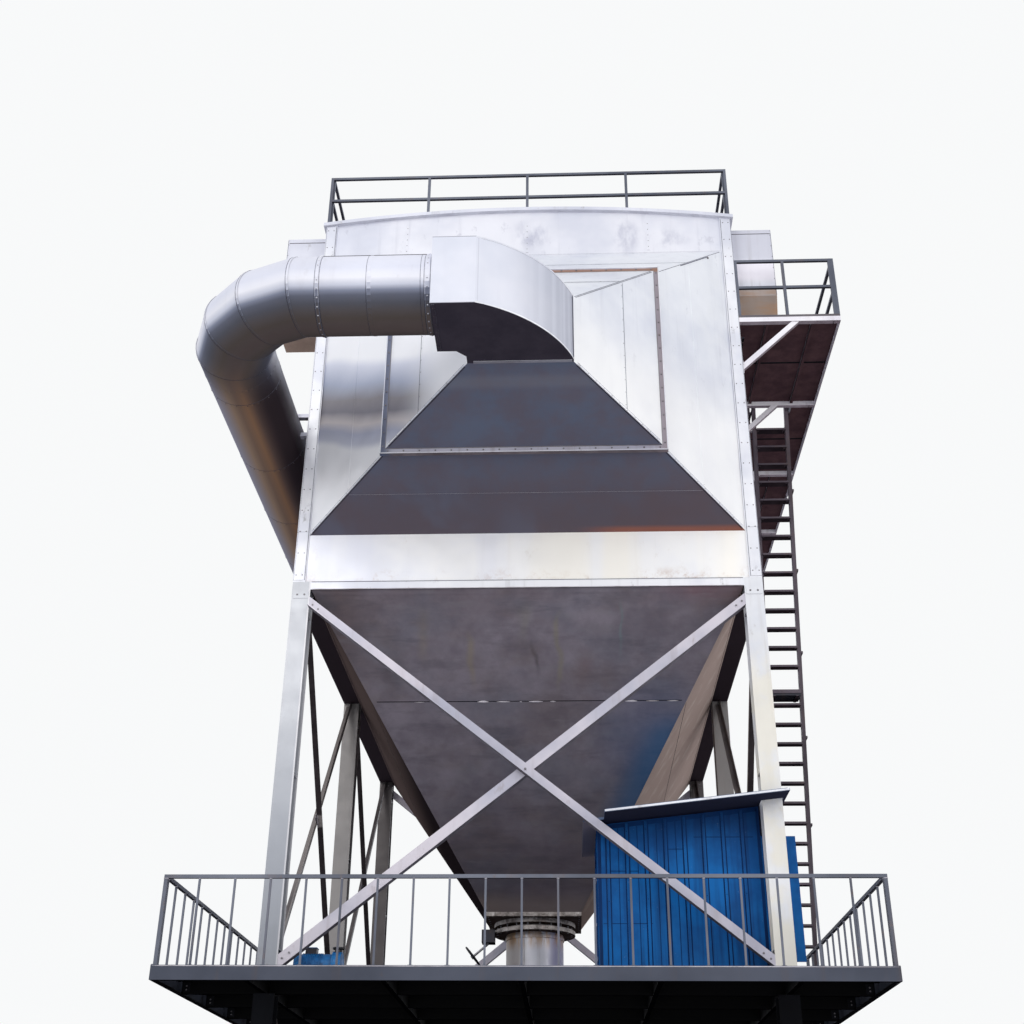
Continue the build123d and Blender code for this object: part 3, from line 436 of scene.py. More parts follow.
def duct_marks(s, colour, turned):
    """Painted reflection of the casing on the run beside it, lilac outside with brown bands, and painted
    shade next to the wall and behind.
    """
    beside, under = s.span(s.y, -2.5, -1.1), s.span(s.nz, 0.1, -0.3)
    colour = s.mix(s.times(beside, under, 0.92), colour, s.ramp(s.nx, RUN_STOPS))
    return s.tints(
        colour,
        # Painted shade next to the wall
        (beside, s.span(s.nx, 0.1, 0.7), 0.85, "30282b"),
        # Painted shade on the back of the underside
        (s.span(s.ny, 0.05, 0.7), s.rest(beside), under, 0.7, "423c3c"))


def frame_marks(s, colour, turned):
    """Slate on the left upright, brown-grey on the right one and red-brown along the top."""
    return s.tints(
        colour,
        (s.span(s.x, -1.7, -1.9), 0.9, "545c72"),
        (s.span(s.x, 1.7, 1.9), 0.8, "887c80"),
        (s.span(s.h, 9.46, 9.49), s.span(s.h, 9.545, 9.53), 0.9, "94705c"))


def hopper_marks(s, colour, turned):
    """Faint washed streaks, a browner pair of sides with painted shade on the left one, and painted blue
    light from the shed.
    """
    left, right, front = s.span(s.nx, -0.3, -0.6), s.span(s.nx, 0.3, 0.6), s.span(s.ny, -0.2, -0.5)
    colour = s.tints(
        colour,
        # Painted shade on the left side, nearly black lower down
        (left, 0.9, "4c3e38"),
        (left, s.span(s.h, 4.2, 2.8), 0.92, "1c171b"),
        (left, s.span(s.h, 4.7, 5.05), 0.6, "322a2c"),
        (right, 0.92, "a6938a"),
        (right, s.spots(0.5, 0.7, 2.2, 5.0, 0.65), 0.45, "c0b2a8"),
        (right, s.span(s.h, 3.0, 1.8), 0.6, "4a3e3a"))
    bent = s.math("ADD", s.x, s.spots(0.3, 0.7, 1.6, 2.0, 0.5, to=(-0.05, 0.05)))
    for x, low, top, wide, share, wash in ((-0.78, 4.0, 4.7, 0.09, 0.6, "867c6c"),
                                           (0.42, 3.95, 4.9, 0.06, 0.6, "807a6c"),
                                           (-0.05, 4.45, 5.0, 0.13, 0.55, "807c78"),
                                           (1.33, 4.3, 5.0, 0.035, 0.7, "7a868a"),
                                           (-1.42, 4.25, 4.95, 0.13, 0.55, "847a72"),
                                           (0.75, 4.0, 4.5, 0.2, 0.4, "685454"),
                                           (0.1, 4.1, 4.6, 0.05, 0.5, "3a3639"),
                                           (-1.9, 3.9, 4.5, 0.3, 0.35, "4e443c")):
        ends = s.times(s.span(s.h, low, low + 0.3), s.span(s.h, top, top - 0.2))
        colour = s.tints(colour, (s.line(bent, x, 0.0, wide), front, ends, share, wash))
    brushed = s.noise(1.0, 5.0, 0.65, (1.1, 1.1, 8.0), (2, 0, 0))
    warm = s.spots(0.44, 0.6, 0.9, 2.0, 0.5, (1, 1, 0.1), (2, 0, 0))
    beside = s.math("SUBTRACT", s.x, s.span(s.h, 1.55, 5.07, 0.72, 2.94, smooth=False))
    return s.tints(
        colour,
        (s.span(s.x, -2.0, -2.6), s.span(s.h, 3.9, 4.5), front, 0.6, "5c4c48"),
        (s.span(s.h, 4.55, 5.0), front, warm, 0.3, "544444"),
        (s.span(s.h, 4.78, 5.02), s.span(s.x, 1.2, 2.4), front, 0.4, "683232"),
        (s.span(s.h, 3.2, 2.0), front, 0.5, "504448"),
        (s.spots(0.44, 0.66, 0.9, 4.0, 0.6, (1, 1, 1.5), (8, 2, 1)), front, 0.34, "585f6c"),
        (s.spots(0.46, 0.68, 1.0, 4.0, 0.6, (1, 1, 1.5), (3, 7, 4)), front, 0.34, "6c605c"),
        (s.spots(0.46, 0.66, 1.3, 4.0, 0.6, (1, 1, 1.5), (5, 1, 9)), front, 0.3, "524c56"),
        (s.span(brushed, 0.5, 0.68), front, 0.3, "504d54"),
        (s.span(brushed, 0.46, 0.32), front, 0.3, "7a787e"),
        (s.span(s.h, 1.85, 1.6), front, 0.6, "8e807a"),
        # Painted blue light from the shed, in a patch and along the right edge
        (s.patch((1.75, 1.6, 3.3), (1.1, 2.2, 1.2), 0.1), front, 0.4, "2e5482"),
        (s.span(beside, -0.55, -0.06), s.span(s.h, 2.2, 2.6), s.span(s.h, 3.9, 3.5), front, 0.6, "285c86"))


def column_marks(s, colour, turned):
    """Painted shade: greyer on the left and darker towards the feet, dim under the casing on the columns
    behind; a painted highlight on an inner edge, cream blotches and rust at the feet.
    """
    left, ahead, front = s.span(s.x, 0.5, -0.5), s.span(s.ny, -0.3, -0.6), s.span(s.y, 1.5, 0.6)
    cream = s.spots(0.4, 0.58, 1.3, 4.0, 0.6, (1, 1, 0.8), (6, 2, 3))
    rust = s.spots(0.5, 0.66, 6.0, 5.0, 0.7, (1, 1, 0.5), (2.2, 1.1, 4.4))
    return s.tints(
        colour,
        # Painted shade on the left front column, darker towards its feet
        (left, front, 0.7, "b6b8bd"),
        (left, front, s.span(s.h, 4.4, 1.0), 0.8, "92969e"),
        # Painted highlight along the left front column's inner edge
        (left, front, s.span(s.x, -2.975, -2.96), 0.6, "e8e6e8"),
        # Painted shade under the casing on the columns behind
        (s.rest(front), 0.45, "b2b0b0"),
        (s.rest(front), ahead, 0.8, "7e7874"),
        (s.span(s.y, 5.5, 8.5), ahead, 0.85, "463f40"),
        (s.span(s.x, 0.5, 1.5), front, cream, s.span(s.h, 4.6, 3.6), 0.6, "eae3ce"),
        (s.span(s.h, 0.5, 0.0), rust, 0.5, "806048"))


def trim_marks(s, colour, turned):
    """Painted shade on the beams' inner faces and undersides where they run back under the casing."""
    low, inner = s.span(s.h, 5.3, 5.2), s.span(s.away(s.x), HALF - 0.012, HALF - 0.02)
    return s.tints(
        colour,
        # Painted shade on the inner faces and the undersides
        (inner, s.span(s.y, 0.2, 0.24), low, 0.95, "262023"),
        (s.span(turned, 0.5, 1.0), low, 0.9, "342c31"))


def brace_marks(s, colour, turned):
    """One of the left side's crossed rods is brighter than the others."""
    run = s.math("SUBTRACT", s.math("SUBTRACT", s.h, 0.2), s.times(s.math("SUBTRACT", s.y, 0.25), 1.076))
    near = s.span(s.away(run), 0.16, 0.1)
    return s.tints(colour, (near, s.span(s.x, -2.0, -2.5), s.span(s.y, 4.75, 4.6), 0.9, "968f8c"))


def box_marks(s, colour, turned):
    """A painted pale sheen high on the boxes over a dark line, painted shade at their tops, and rust-brown
    feet on the right side.
    """
    right, foot = s.span(s.x, 0.0, 1.0), s.span(s.h, 10.26, 10.2)
    return s.tints(
        colour,
        # Painted shade at the top of the right-hand boxes
        (s.span(s.h, 10.8, 10.9), right, 0.5, "ceced8"),
        # Painted sheen
        (s.span(s.h, 10.3, 10.48), s.span(s.h, 10.79, 10.72), right, 0.85, "fdf8ff"),
        (foot, right, 0.75, "968476"),
        (foot, right, s.spots(0.35, 0.65, 2.5, 5.0, 0.6, (0.4, 0.4, 1.6)), 0.6, "b08258"))


def flange_marks(s, colour, turned):
    """Dust and rust caked on the outlet flanges."""
    bright = s.spots(0.54, 0.68, 11.0, 5.0, 0.7, (1, 1, 0.5), (1, 8, 2))
    return s.tints(
        colour,
        (s.spots(0.42, 0.62, 7.0, 6.0, 0.75, (1, 1, 1.5), (5, 3, 1)), 0.75, "483d38"),
        (bright, s.rest(turned), 0.6, "e8e2de"))


def pipe_marks(s, colour, turned):
    """Rust below the flange, and painted reflections: brown on the left side and lilac on the right one."""
    rusty = s.spots(0.38, 0.58, 3.0, 5.0, 0.7, (4, 4, 0.6))
    return s.tints(
        colour,
        # Painted reflections by side: brown on the left, lilac on the right
        (s.span(s.nx, -0.15, -0.6), 0.7, "80766e"),
        (s.span(s.nx, 0.3, 0.75), 0.75, "706e96"),
        (s.span(s.h, pipe_top - 0.3, pipe_top - 0.08), rusty, 0.75, "a68054"))


def eave_marks(s, colour, turned):
    """The shed roof's underside: painted shade along the front, and a purple-grey where it stands past the
    left wall.
    """
    return s.tints(
        colour,
        # Painted shade on the underside along the front
        (turned, s.span(s.y, 0.26, 0.1), 0.85, "323444"),
        (turned, s.span(s.x, 0.93, 0.89), s.span(s.y, 0.0, 0.05), 0.95, "948b93"))


def fascia_marks(s, colour, turned):
    """Blue-grey outside, and painted black shade under the deck."""
    out = []
    for value, low, high in ((s.x, deck_low.x, deck_high.x), (s.y, deck_low.y, deck_high.y)):
        inner = (high - low) / 2 - 0.07
        middle = (high + low) / 2 if value == s.y else 0.0
        out.append(s.span(s.away(value, middle), inner, inner + 0.01))
    # Painted shade: everything but the outer band black
    return s.tints(colour, (s.rest(s.math("MAXIMUM", *out)), "030304"))


def plate(name, codes, wearers="", dirt=0.4, streak=0.3, wave=0.0, metallic=0.3, marks=None,
          rough=(0.28, 0.5), turn=(-0.12, -0.55), stops=None, fine=26.0, gloss=0.4, tiles=None):
    """Sheet or plate. Its codes are two upright colours, two for where it turns downwards, mostly painted
    shade, and its dirt.
    """
    s = Shader(name)
    light, dark, under, deep, dust = (rgb(code) for code in codes.split())
    cloud, mottle = s.noise(0.55, 4.0, 0.6), s.noise(3.2, 5.0, 0.65)
    grain = s.noise(fine, 2.0, 0.5)
    colour = s.mix(s.span(cloud, 0.36, 0.66), light, dark)
    if tiles:
        scaled = s.vector("MULTIPLY", s.coords, tuple(1 / size for size in tiles))
        cell = s.vector("FLOOR", s.vector("ADD", scaled, (0.31, 0.17, 0.43)))
        tone = s.node("ShaderNodeTexWhiteNoise", cell, noise_dimensions="3D").outputs["Value"]
        colour = s.mix(s.span(tone, 0.0, 1.0, 0.0, 0.35, smooth=False), colour, dark)
    # Faces that turn downwards take the under colours: painted shade on most plates
    turned = s.span(s.nz, turn[1], turn[0], 1.0, 0.0)
    colour = s.mix(turned, colour, s.mix(s.span(mottle, 0.3, 0.7), under, deep))
    # A ramp over the normal's height replaces the colour: painted light and reflection by tilt
    if stops:
        colour = s.vector("SCALE", s.ramp(s.nz, stops))
        s.put(colour.node.inputs["Scale"], s.span(cloud, 0.36, 0.66, 0.94, 1.03))
    # Dirt colour, and on undersides the deep colour as painted shade
    dirt_and_shade = s.mix(s.times(turned, 0.85), dust, deep)
    colour = s.mix(s.times(s.spots(0.52, 0.74, 1.0, 4.0, 0.6, (7, 7, 0.35)), streak), colour, dirt_and_shade)
    dots = s.spots(0.6, 0.72, 5.5, 6.0, 0.7, (1, 1, 0.6), (4.1, 2.7, 9.3))
    colour = s.mix(s.times(dots, dirt), colour, dirt_and_shade)
    if marks:
        colour = marks(s, colour, turned)
    bumps = [(s.noise(0.9, 2.0, 0.5), 1.0, wave), (grain, 0.06, 0.004)] if wave else [(grain, 0.08, 0.004)]
    upright = s.rest(turned)
    roughness = s.span(mottle, 0.25, 0.75, *rough)
    s.surface(colour, roughness, s.times(upright, metallic), bumps, s.times(upright, gloss), wearers)


def painted_ribs():
    """Blue coated sheet with pressed ribs, rain marks, a faded foot and the roof's painted shadow along its
    top.
    """
    s = Shader("shed_paint")
    runs = s.noise(1.0, 4.0, 0.6, (9, 9, 0.4))
    cloud = s.noise(1.4, 4.0, 0.6)
    colour = s.mix(s.span(cloud, 0.34, 0.66), rgb("0864ac"), rgb("054c8c"))
    colour = s.tints(
        colour,
        (s.span(runs, 0.48, 0.7), 0.5, "042c5e"),
        (s.span(s.h, 0.0, 0.5, 1.0, 0.0), s.span(cloud, 0.4, 0.6), 0.35, "2870b0"),
        # Painted shadow of the roof along the top
        (s.span(s.h, 1.55, 2.15), 0.75, "041a46"),
        (s.spots(0.64, 0.74, 14.0, 5.0, 0.7), 0.3, "708caa"))
    bumps = [(runs, 0.15, 0.01), (s.noise(40.0, 2.0, 0.5), 0.06, 0.003)]
    s.surface(colour, s.span(cloud, 0.3, 0.7, 0.42, 0.58), 0.0, bumps, 0.16, "shed_walls")


def painted_pump():
    """Blue enamel with dirt spots, and painted shade underneath."""
    s = Shader("pump_enamel")
    cloud = s.noise(4.0, 5.0, 0.65)
    colour = s.mix(s.span(cloud, 0.35, 0.65), rgb("1678bc"), rgb("0e548e"))
    colour = s.tints(colour, (s.spots(0.54, 0.7, 9.0, 6.0, 0.7), 0.6, "2e2a2c"),
                     # Painted shade on the downward faces
                     (s.span(s.nz, -0.6, 0.1, 0.6, 0.0), "0a223c"))
    bumps = [(s.noise(45.0, 2.0, 0.5), 0.12, 0.003)]
    s.surface(colour, s.span(cloud, 0.3, 0.7, 0.35, 0.6), 0.0, bumps, 0.4, "pump_base pump_motor")


painted_ribs()
painted_pump()
plate("gable_sheet", "ececf2 d6d8e3 787a8a 64626e a8a8b6", "front_gable", dirt=0.3, streak=0.18, wave=0.05,
      marks=gable_marks, rough=(0.3, 0.46))
plate("wall_sheet", "e4e5f0 cccede 787a8a 64626e a09ea8", "rear_gable left_wall right_wall", dirt=0.35,
      wave=0.05, tiles=(1.15, 1.15, 1.6))
plate("roof_sheet", "e8e9f2 ced0dc d0d1da babac4 96908c", "roof", dirt=0.45, streak=0.2, wave=0.03,
      tiles=(1.2, 1.2, 9))
plate("band_sheet", "fbfaf9 ecedf4 8c8c96 78747a d6cec6", "front_band rear_band", dirt=0.3, streak=0.12,
      wave=0.04, metallic=0.25, marks=band_marks)
plate("horn_sheet", "eceef2 d8dbe5 5e6476 625e6a 9696a4",
      "inlet_horn_base inlet_horn_nose outlet_horn_base outlet_horn_nose outlet_stub", dirt=0.25, streak=0.12,
      wave=0.05, marks=horn_marks)
plate("elbow_sheet", "e4e5ed d6d9e4 3e3942 36323b b0b0bc", "inlet_elbow", dirt=0.0, streak=0.04, wave=0.01,
      metallic=0.2, marks=elbow_marks)
plate("duct_sheet", "e8e8f5 ced0e0 686c7a 645652 8e8480", "duct_straight duct_bend duct_run", dirt=0.1,
      streak=0.06, wave=0.006, metallic=0.1, marks=duct_marks, rough=(0.4, 0.55), turn=(-0.02, -0.5),
      stops=DUCT_STOPS)
plate("box_sheet", "e8e9f1 d2d3de a48e7e 8e7a6c 948e8e", "insulator_boxes_left insulator_boxes_right",
      streak=0.35, wave=0.03, marks=box_marks)
plate("trim_sheet", "f6f6f9 d6d8e2 8c8c96 78767e 848080", "casing_posts ring_beam", dirt=0.5, streak=0.2,
      marks=trim_marks)
plate("bright_flange", "d0d0dc 9898a6 9696a2 686264 705c4e", "duct_flange outlet_flange duct_brackets",
      dirt=0.5, streak=0.35, metallic=0.35)
plate("frame_steel", "c4c2ce a8a6b4 787074 60585c 705c4e", "inlet_horn_frame outlet_horn_frame",
      marks=frame_marks)
plate("column_steel", "ecedf0 d6d8de 96969e 7e787c 968a7e", "columns", dirt=0.3, streak=0.25, metallic=0.2,
      marks=column_marks)
plate("brace_steel", "d4ced6 b0b0be 807c84 686268 8a7870", "brace_front brace_rear", dirt=0.3, streak=0.2)
plate("dark_brace", "767070 4e484a 3c3638 2c282a 604a3c", "brace_left brace_right lower_braces", dirt=0.45,
      streak=0.4, metallic=0.2, marks=brace_marks)
plate("hopper_steel", "807a80 625c62 847d86 766f78 5c5254", "hopper", dirt=0.2, streak=0.12, wave=0.02,
      metallic=0.0, marks=hopper_marks, rough=(0.34, 0.5), gloss=0.0)
# The deck plate's near-black under colours are painted shade
plate("deck_steel", "5c616f 484c5a 030304 020203 605046", "deck_plate", dirt=0.3, streak=0.25, metallic=0.1,
      rough=(0.5, 0.7))
# Near-black lower columns: painted shade under the deck
plate("under_steel", "1a1b1f 121215 040405 020203 14110f", "lower_columns", dirt=0.3, metallic=0.0,
      rough=(0.6, 0.8), gloss=0.05)
plate("fascia_steel", "525662 444853 0e0e11 08080a 605046", "deck_frame ladder_seat", dirt=0.3, streak=0.25,
      metallic=0.1, marks=fascia_marks, rough=(0.5, 0.7), gloss=0.1)
plate("rail_steel", "707480 525662 3c3c44 2c2c32 766054",
      "deck_rail_ends deck_rail_sides roof_rail_ends roof_rail_sides platform_rail_side platform_rail_ends",
      dirt=0.5, metallic=0.2, rough=(0.4, 0.6))
plate("ladder_steel", "645a62 423a42 30282c 221c20 745c4e", "ladder_stiles ladder_treads ladder_handrails",
      dirt=0.5, metallic=0.2, rough=(0.45, 0.65))
plate("platform_steel", "706c70 544e54 4c383a 3a2a2e 5c4236", "platform_floor", dirt=0.5, streak=0.2,
      wave=0.02, metallic=0.1, rough=(0.5, 0.7))
plate("white_angle", "faf7fa dedae2 968c92 766a70 8a7062", "platform_edge platform_brackets", streak=0.25,
      metallic=0.2)
plate("outlet_steel", "c4beba 9e948e 60544e 483c36 704a34", "hopper_flange", dirt=0.75, streak=0.5,
      metallic=0.25, marks=flange_marks, rough=(0.45, 0.7))
plate("pipe_steel", "d6d6dc aaaab4 78767c 605c60 8c807a", "dust_pipe", streak=0.35, wave=0.01,
      marks=pipe_marks)
plate("dark_fitting", "34343c 222228 1a1a1e 121214 544236", dirt=0.5)
plate("seam_dark", "787a88 5c5c68 3a3840 2c2a30 5a4c42", streak=0.2)
plate("bolt_steel", "969498 6c686a 5a5456 423c3c 78543e", dirt=0.7, streak=0.1, metallic=0.5, fine=60.0)
plate("weld_steel", "e2dee2 aaa4a8 d8d4dc 968e92 786054", dirt=0.5, streak=0.1, metallic=0.5, fine=60.0)
plate("base_steel", "787474 585456 3c3838 2c2828 70503c", "base_plates", dirt=0.7, rough=(0.5, 0.75))
# Dark navy for joints and for painted shadow lines beside ribs and under the eaves
plate("shed_seam", "0a3468 06244e 041836 03122a 283c54", metallic=0.0, rough=(0.5, 0.7), gloss=0.1)
plate("shed_edge", "eceef4 ced0d8 60626a 4c4e58 6e645e", metallic=0.2, rough=(0.4, 0.6))
plate("rust_steel", "865c42 603e2c 463026 30221c 3c2a22", dirt=0.7, streak=0.4, metallic=0.1,
      rough=(0.6, 0.85))
plate("shed_roof_paint", "60708c 465674 22263c 181a2a 6e5c50", "shed_roof", dirt=0.5, streak=0.4,
      metallic=0.1, marks=eave_marks, rough=(0.4, 0.6))


# Sizes read from the solids, so that what is dressed stays seated on them
BEAM_FOOT, BEAM_HEAD = (corner.z for corner in local(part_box("ring_beam")))
BAND_HEAD = local(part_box("front_band"))[1].z
EAVES = local(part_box("left_wall"))[1].z
WALL_X = local(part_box("right_wall"))[1].x
COLUMN_LINES = spread(0.125, LENGTH - 0.125, 3)
mouth_low, mouth_high = local(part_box("inlet_horn_base"))
nose_low, nose_high = local(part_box("inlet_horn_nose"))
stub_low, stub_high = local(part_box("outlet_stub"))
MOUTH = (mouth_high.x, mouth_low.z, mouth_high.z)
WAIST = (nose_high.x, nose_low.z, nose_high.z)
NECK = (stub_high.x, stub_low.z, stub_high.z)


def casing_trim():
    """Folded corner strips with their screws, and the dark joints beside them."""
    made = Build("corner_trims", "trim_sheet bolt_steel seam_dark")
    strip, lap = 0.15, 0.004
    for side in SIDES:
        for back, y in ((-1, 0.0), (1, LENGTH)):
            x = HALF * side
            for low, high in ((BEAM_HEAD + 0.02, BAND_HEAD - 0.005), (BAND_HEAD + 0.005, EAVES - 0.02)):
                made.box((x, y, low), (x - strip * side, y + lap * back, high))
                made.box((x, y, low), (x + lap * side, y - strip * back, high))
            for row in (0.035, strip - 0.03):
                start = Vector((x - row * side, y + lap * back, BEAM_HEAD + 0.05))
                made.rivets(start, (*start.xy, EAVES - 0.05), 0.34, (0, back, 0), 0.009)
            for inside in (x - (strip + 0.006) * side, x - 0.006 * side):
                made.box((inside, y, BEAM_HEAD + 0.02), (inside + 0.006, y + 0.0045 * back, EAVES - 0.03), 2)
    made.done(bevel=0.0015)


def side_seams():
    """The long walls: upright laps every sheet with a rivet line, and two level joints."""
    made = Build("wall_seams", "wall_sheet bolt_steel seam_dark")
    edge, sheets = 0.19, 8
    first, last = edge, LENGTH - edge
    for side in SIDES:
        x, lap, out = WALL_X * side, (WALL_X + 0.005) * side, (side, 0, 0)
        for y in spread(first, last, sheets + 1)[1:-1]:
            made.bar((x, y, BAND_HEAD - 0.66), (x, y, EAVES - 0.06), 0.05, 0.005, out)
            made.rivets((lap, y, BAND_HEAD - 0.6), (lap, y, EAVES - 0.1), 0.4, out, 0.008)
        for h in (BAND_HEAD + 0.02, (BAND_HEAD + EAVES) / 2 + 0.1):
            made.bar((x, first, h), (x, last, h), 0.04, 0.007, out, 2)
    made.done(bevel=0.001)


def gable_seams(name, sheet, face, back):
    """The end sheets round the horn: laps that the photo shows as faint lines, with their rivets."""
    made = Build(name, sheet + " bolt_steel")
    lap, out = 0.004, (0, back, 0)
    top, middle = mouth_high.z, 8.35
    for side in SIDES:
        start, end = sorted((side * (mouth_high.x + 0.05), side * (HALF - 0.17)))
        made.bar((start, face, middle), (end, face, middle), 0.05, lap, out)
    for x in (-1.9, 0.0, 1.9):
        made.bar((x, face, top + 0.06), (x, face, EAVES + 0.02), 0.045, lap, out)
        start = (x, face + lap * back, top + 0.08)
        made.rivets(start, (*start[:2], EAVES - 0.02), 0.12, out, 0.007)
    made.bar((-HALF + 0.2, face, top + 0.03), (HALF - 0.2, face, top + 0.03), 0.035, lap * 0.6, out)
    made.done(bevel=0.001)


def roof_height(x):
    """The height of the arched roof at x."""
    edge = local(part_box("roof"))[1]
    drop = edge.z - EAVES - 0.06
    radius = (edge.x ** 2 + drop ** 2) / (2 * drop)
    return edge.z - radius + math.sqrt(radius ** 2 - x * x)


def roof_ribs():
    """Standing seams across the roof, one at each sheet."""
    made = Build("roof_seams", "roof_sheet")
    low, high = local(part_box("roof"))
    profile = ((-0.02, -0.004), (-0.012, 0.028), (0.012, 0.028), (0.02, -0.004))
    for y in spread(low.y, high.y, 10)[1:-1]:
        rings = []
        for x in spread(-high.x * 0.93, high.x * 0.93, 25):
            rings.append([(x, y + back, roof_height(x) + rise) for back, rise in profile])
        made.loft(rings, smooth=False)
    made.done()


def horn_corners(size, y, lip=0.0):
    """The four outer corners of a horn's section, from the lower left one round."""
    half, foot, head = size[0] + lip, size[1] - lip, size[2] + lip
    return [Vector((x, y, h)) for x, h in ((-half, foot), (half, foot), (half, head), (-half, head))]


def face_normal(near, far, corner):
    """The outward normal of the sloping plate between one corner and the next."""
    normal = (near[(corner + 1) % 4] - near[corner]).cross(far[corner] - near[corner]).normalized()
    if normal.dot(near[corner] - (near[0] + near[2]) / 2) < 0:
        normal.negate()
    return normal


def edge_line(near, far, corner, edge, inset):
    """The ends of a line beside an edge of the plate after a corner, as far in as inset says."""
    other = (corner + 1) % 4 if edge == corner else corner
    along = (far[edge] - near[edge]).normalized()
    across = near[other] - near[edge]
    inward = (across - along * across.dot(along)).normalized() * inset
    return near[edge] + along * 0.06 + inward, far[edge] - along * 0.06 + inward


def lap_line(near, far, corner, share, trim):
    """A line across the plate after a corner, at a share of its length and trimmed at both ends."""
    ends = [near[k].lerp(far[k], share) for k in (corner, (corner + 1) % 4)]
    along = (ends[1] - ends[0]).normalized() * trim
    return ends[0] + along, ends[1] - along


def horn_dressing(name, mouth_y, frame_near, frame_far, neck_y):
    """Folded cover strips on the horn's edges, its sheet laps, and the waist frame's edges and bolts."""
    made = Build(name, "trim_sheet bolt_steel seam_dark horn_sheet")
    mouth, waist = horn_corners(MOUTH, mouth_y), horn_corners(WAIST, frame_near)
    waist_out, neck = horn_corners(WAIST, frame_far), horn_corners(NECK, neck_y)
    for near, far in ((mouth, waist), (waist_out, neck)):
        for corner in (1, 3, 0, 2):
            normal = face_normal(near, far, corner)
            for edge in (corner, (corner + 1) % 4):
                if corner in (0, 2):
                    made.bar(*edge_line(near, far, corner, edge, 0.012), 0.012, 0.003, normal, 2)
                elif edge in (0, 1):
                    start, end = edge_line(near, far, corner, edge, 0.018)
                    made.bar(start, end, 0.03, 0.004, normal)
                    made.bar(*edge_line(near, far, corner, edge, 0.036), 0.006, 0.003, normal, 2)
                    made.rivets(start + normal * 0.004, end + normal * 0.004, 0.16, normal, 0.006)
                elif near is waist_out:
                    made.bar(*edge_line(near, far, corner, edge, 0.01), 0.007, 0.003, normal, 2)
    # The piece of open lap that is left on the outer part's upper right edge
    start, end = (mouth[2].lerp(waist[2], share) + Vector((0, 0, -0.012)) for share in (0.22, 0.62))
    side = face_normal(mouth, waist, 1)
    made.bar(start, end, 0.014, 0.004, side, 2)
    made.bolt(start + Vector((0, 0, -0.018)), side, 0.02)
    # Laps across the outer part's plates, and wide ones across the inner part's
    for corner in (1, 3, 2):
        normal = face_normal(waist_out, neck, corner)
        start, end = lap_line(waist_out, neck, corner, 0.41, 0.04)
        step = (neck[corner] - waist_out[corner]).normalized() * 0.02
        made.bar(start, end, 0.009, 0.004, normal, 2)
        made.bar(start + step, end + step, 0.03, 0.003, normal, 3)
        step += normal * 0.003
        made.rivets(start + step, end + step, 0.2, normal, 0.006)
    for corner, share in ((0, 0.48), (2, 0.5)):
        start, end = lap_line(mouth, waist, corner, share, 0.05)
        made.bar(start, end, 0.034, 0.003, face_normal(mouth, waist, corner), 3)
    for corner in (1, 3):
        foot, top = lap_line(mouth, waist, corner, 0.5, 0.0)
        start, end = foot.lerp(top, 0.02), foot.lerp(top, 0.98)
        made.bar(start, end, 0.03, 0.003, face_normal(mouth, waist, corner), 3)
    # Frame: a bright arris round both faces, the weld at its foot and the bolts
    ahead = math.copysign(1, mouth_y - frame_near)
    for y, out in ((frame_near, (0, ahead, 0)), (frame_far, (0, -ahead, 0))):
        outer, inner = horn_corners(WAIST, y, 0.075), horn_corners(WAIST, y)
        for corner in range(4):
            following = (corner + 1) % 4
            along = (outer[following] - outer[corner]).normalized()
            inward = (inner[corner] - outer[corner]).normalized()
            edge = (inward - along * inward.dot(along)).normalized()
            made.bar(outer[corner] + edge * 0.007, outer[following] + edge * 0.007, 0.011, 0.003, out)
            start, end = inner[corner] - along * 0.01, inner[following] + along * 0.01
            made.bead(start, end, 0.007, out, 1, 0.09, corner + 3)
            count = 18 if corner % 2 == 0 else 14
            for step in range(count):
                place = outer[corner].lerp(outer[following], (step + 0.5) / count) + edge * 0.04
                made.bolt(place, out, 0.012)
    made.done()


casing_trim()
side_seams()
gable_seams("front_seams", "gable_sheet", local(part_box("front_gable"))[0].y, -1)
gable_seams("rear_seams", "wall_sheet", local(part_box("rear_gable"))[1].y, 1)
roof_ribs()
waist_front, waist_back = (corner.y for corner in local(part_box("inlet_horn_frame")))
rear_front, rear_back = (corner.y for corner in local(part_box("outlet_horn_frame")))
horn_dressing("inlet_horn_dressing", mouth_high.y, waist_back, waist_front, nose_low.y)
horn_dressing("outlet_horn_dressing", local(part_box("outlet_horn_base"))[0].y, rear_front, rear_back,
              local(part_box("outlet_horn_nose"))[1].y)


run_low, run_high = local(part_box("duct_run"))
straight_low, straight_high = local(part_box("duct_straight"))
DUCT_R = (run_high.x - run_low.x) / 2
DUCT_X = (run_low.x + run_high.x) / 2
DUCT_Y, DUCT_H = (straight_low.y + straight_high.y) / 2, (straight_low.z + straight_high.z) / 2
BEND_X, BEND_Y = straight_low.x, run_low.y
BEND_R = BEND_X - DUCT_X


def hoop(made, centre, across, reach, width, height, material=0):
    """A flat band round the duct: across is the level direction over it, reach its half width that way."""
    across = Vector(across).normalized()
    axis = across.cross(Vector(UP)).normalized()
    rings = []
    for share, high in ((-0.5, 0.0), (-0.35, height), (0.35, height), (0.5, 0.0)):
        start = Vector(centre) + axis * width * share
        wide, tall = across * (reach + high), Vector(UP) * (DUCT_R + high)
        rings.append([start + wide * c + tall * s for c, s in circle(40)])
    made.loft(rings, material, smooth=False, caps=False)


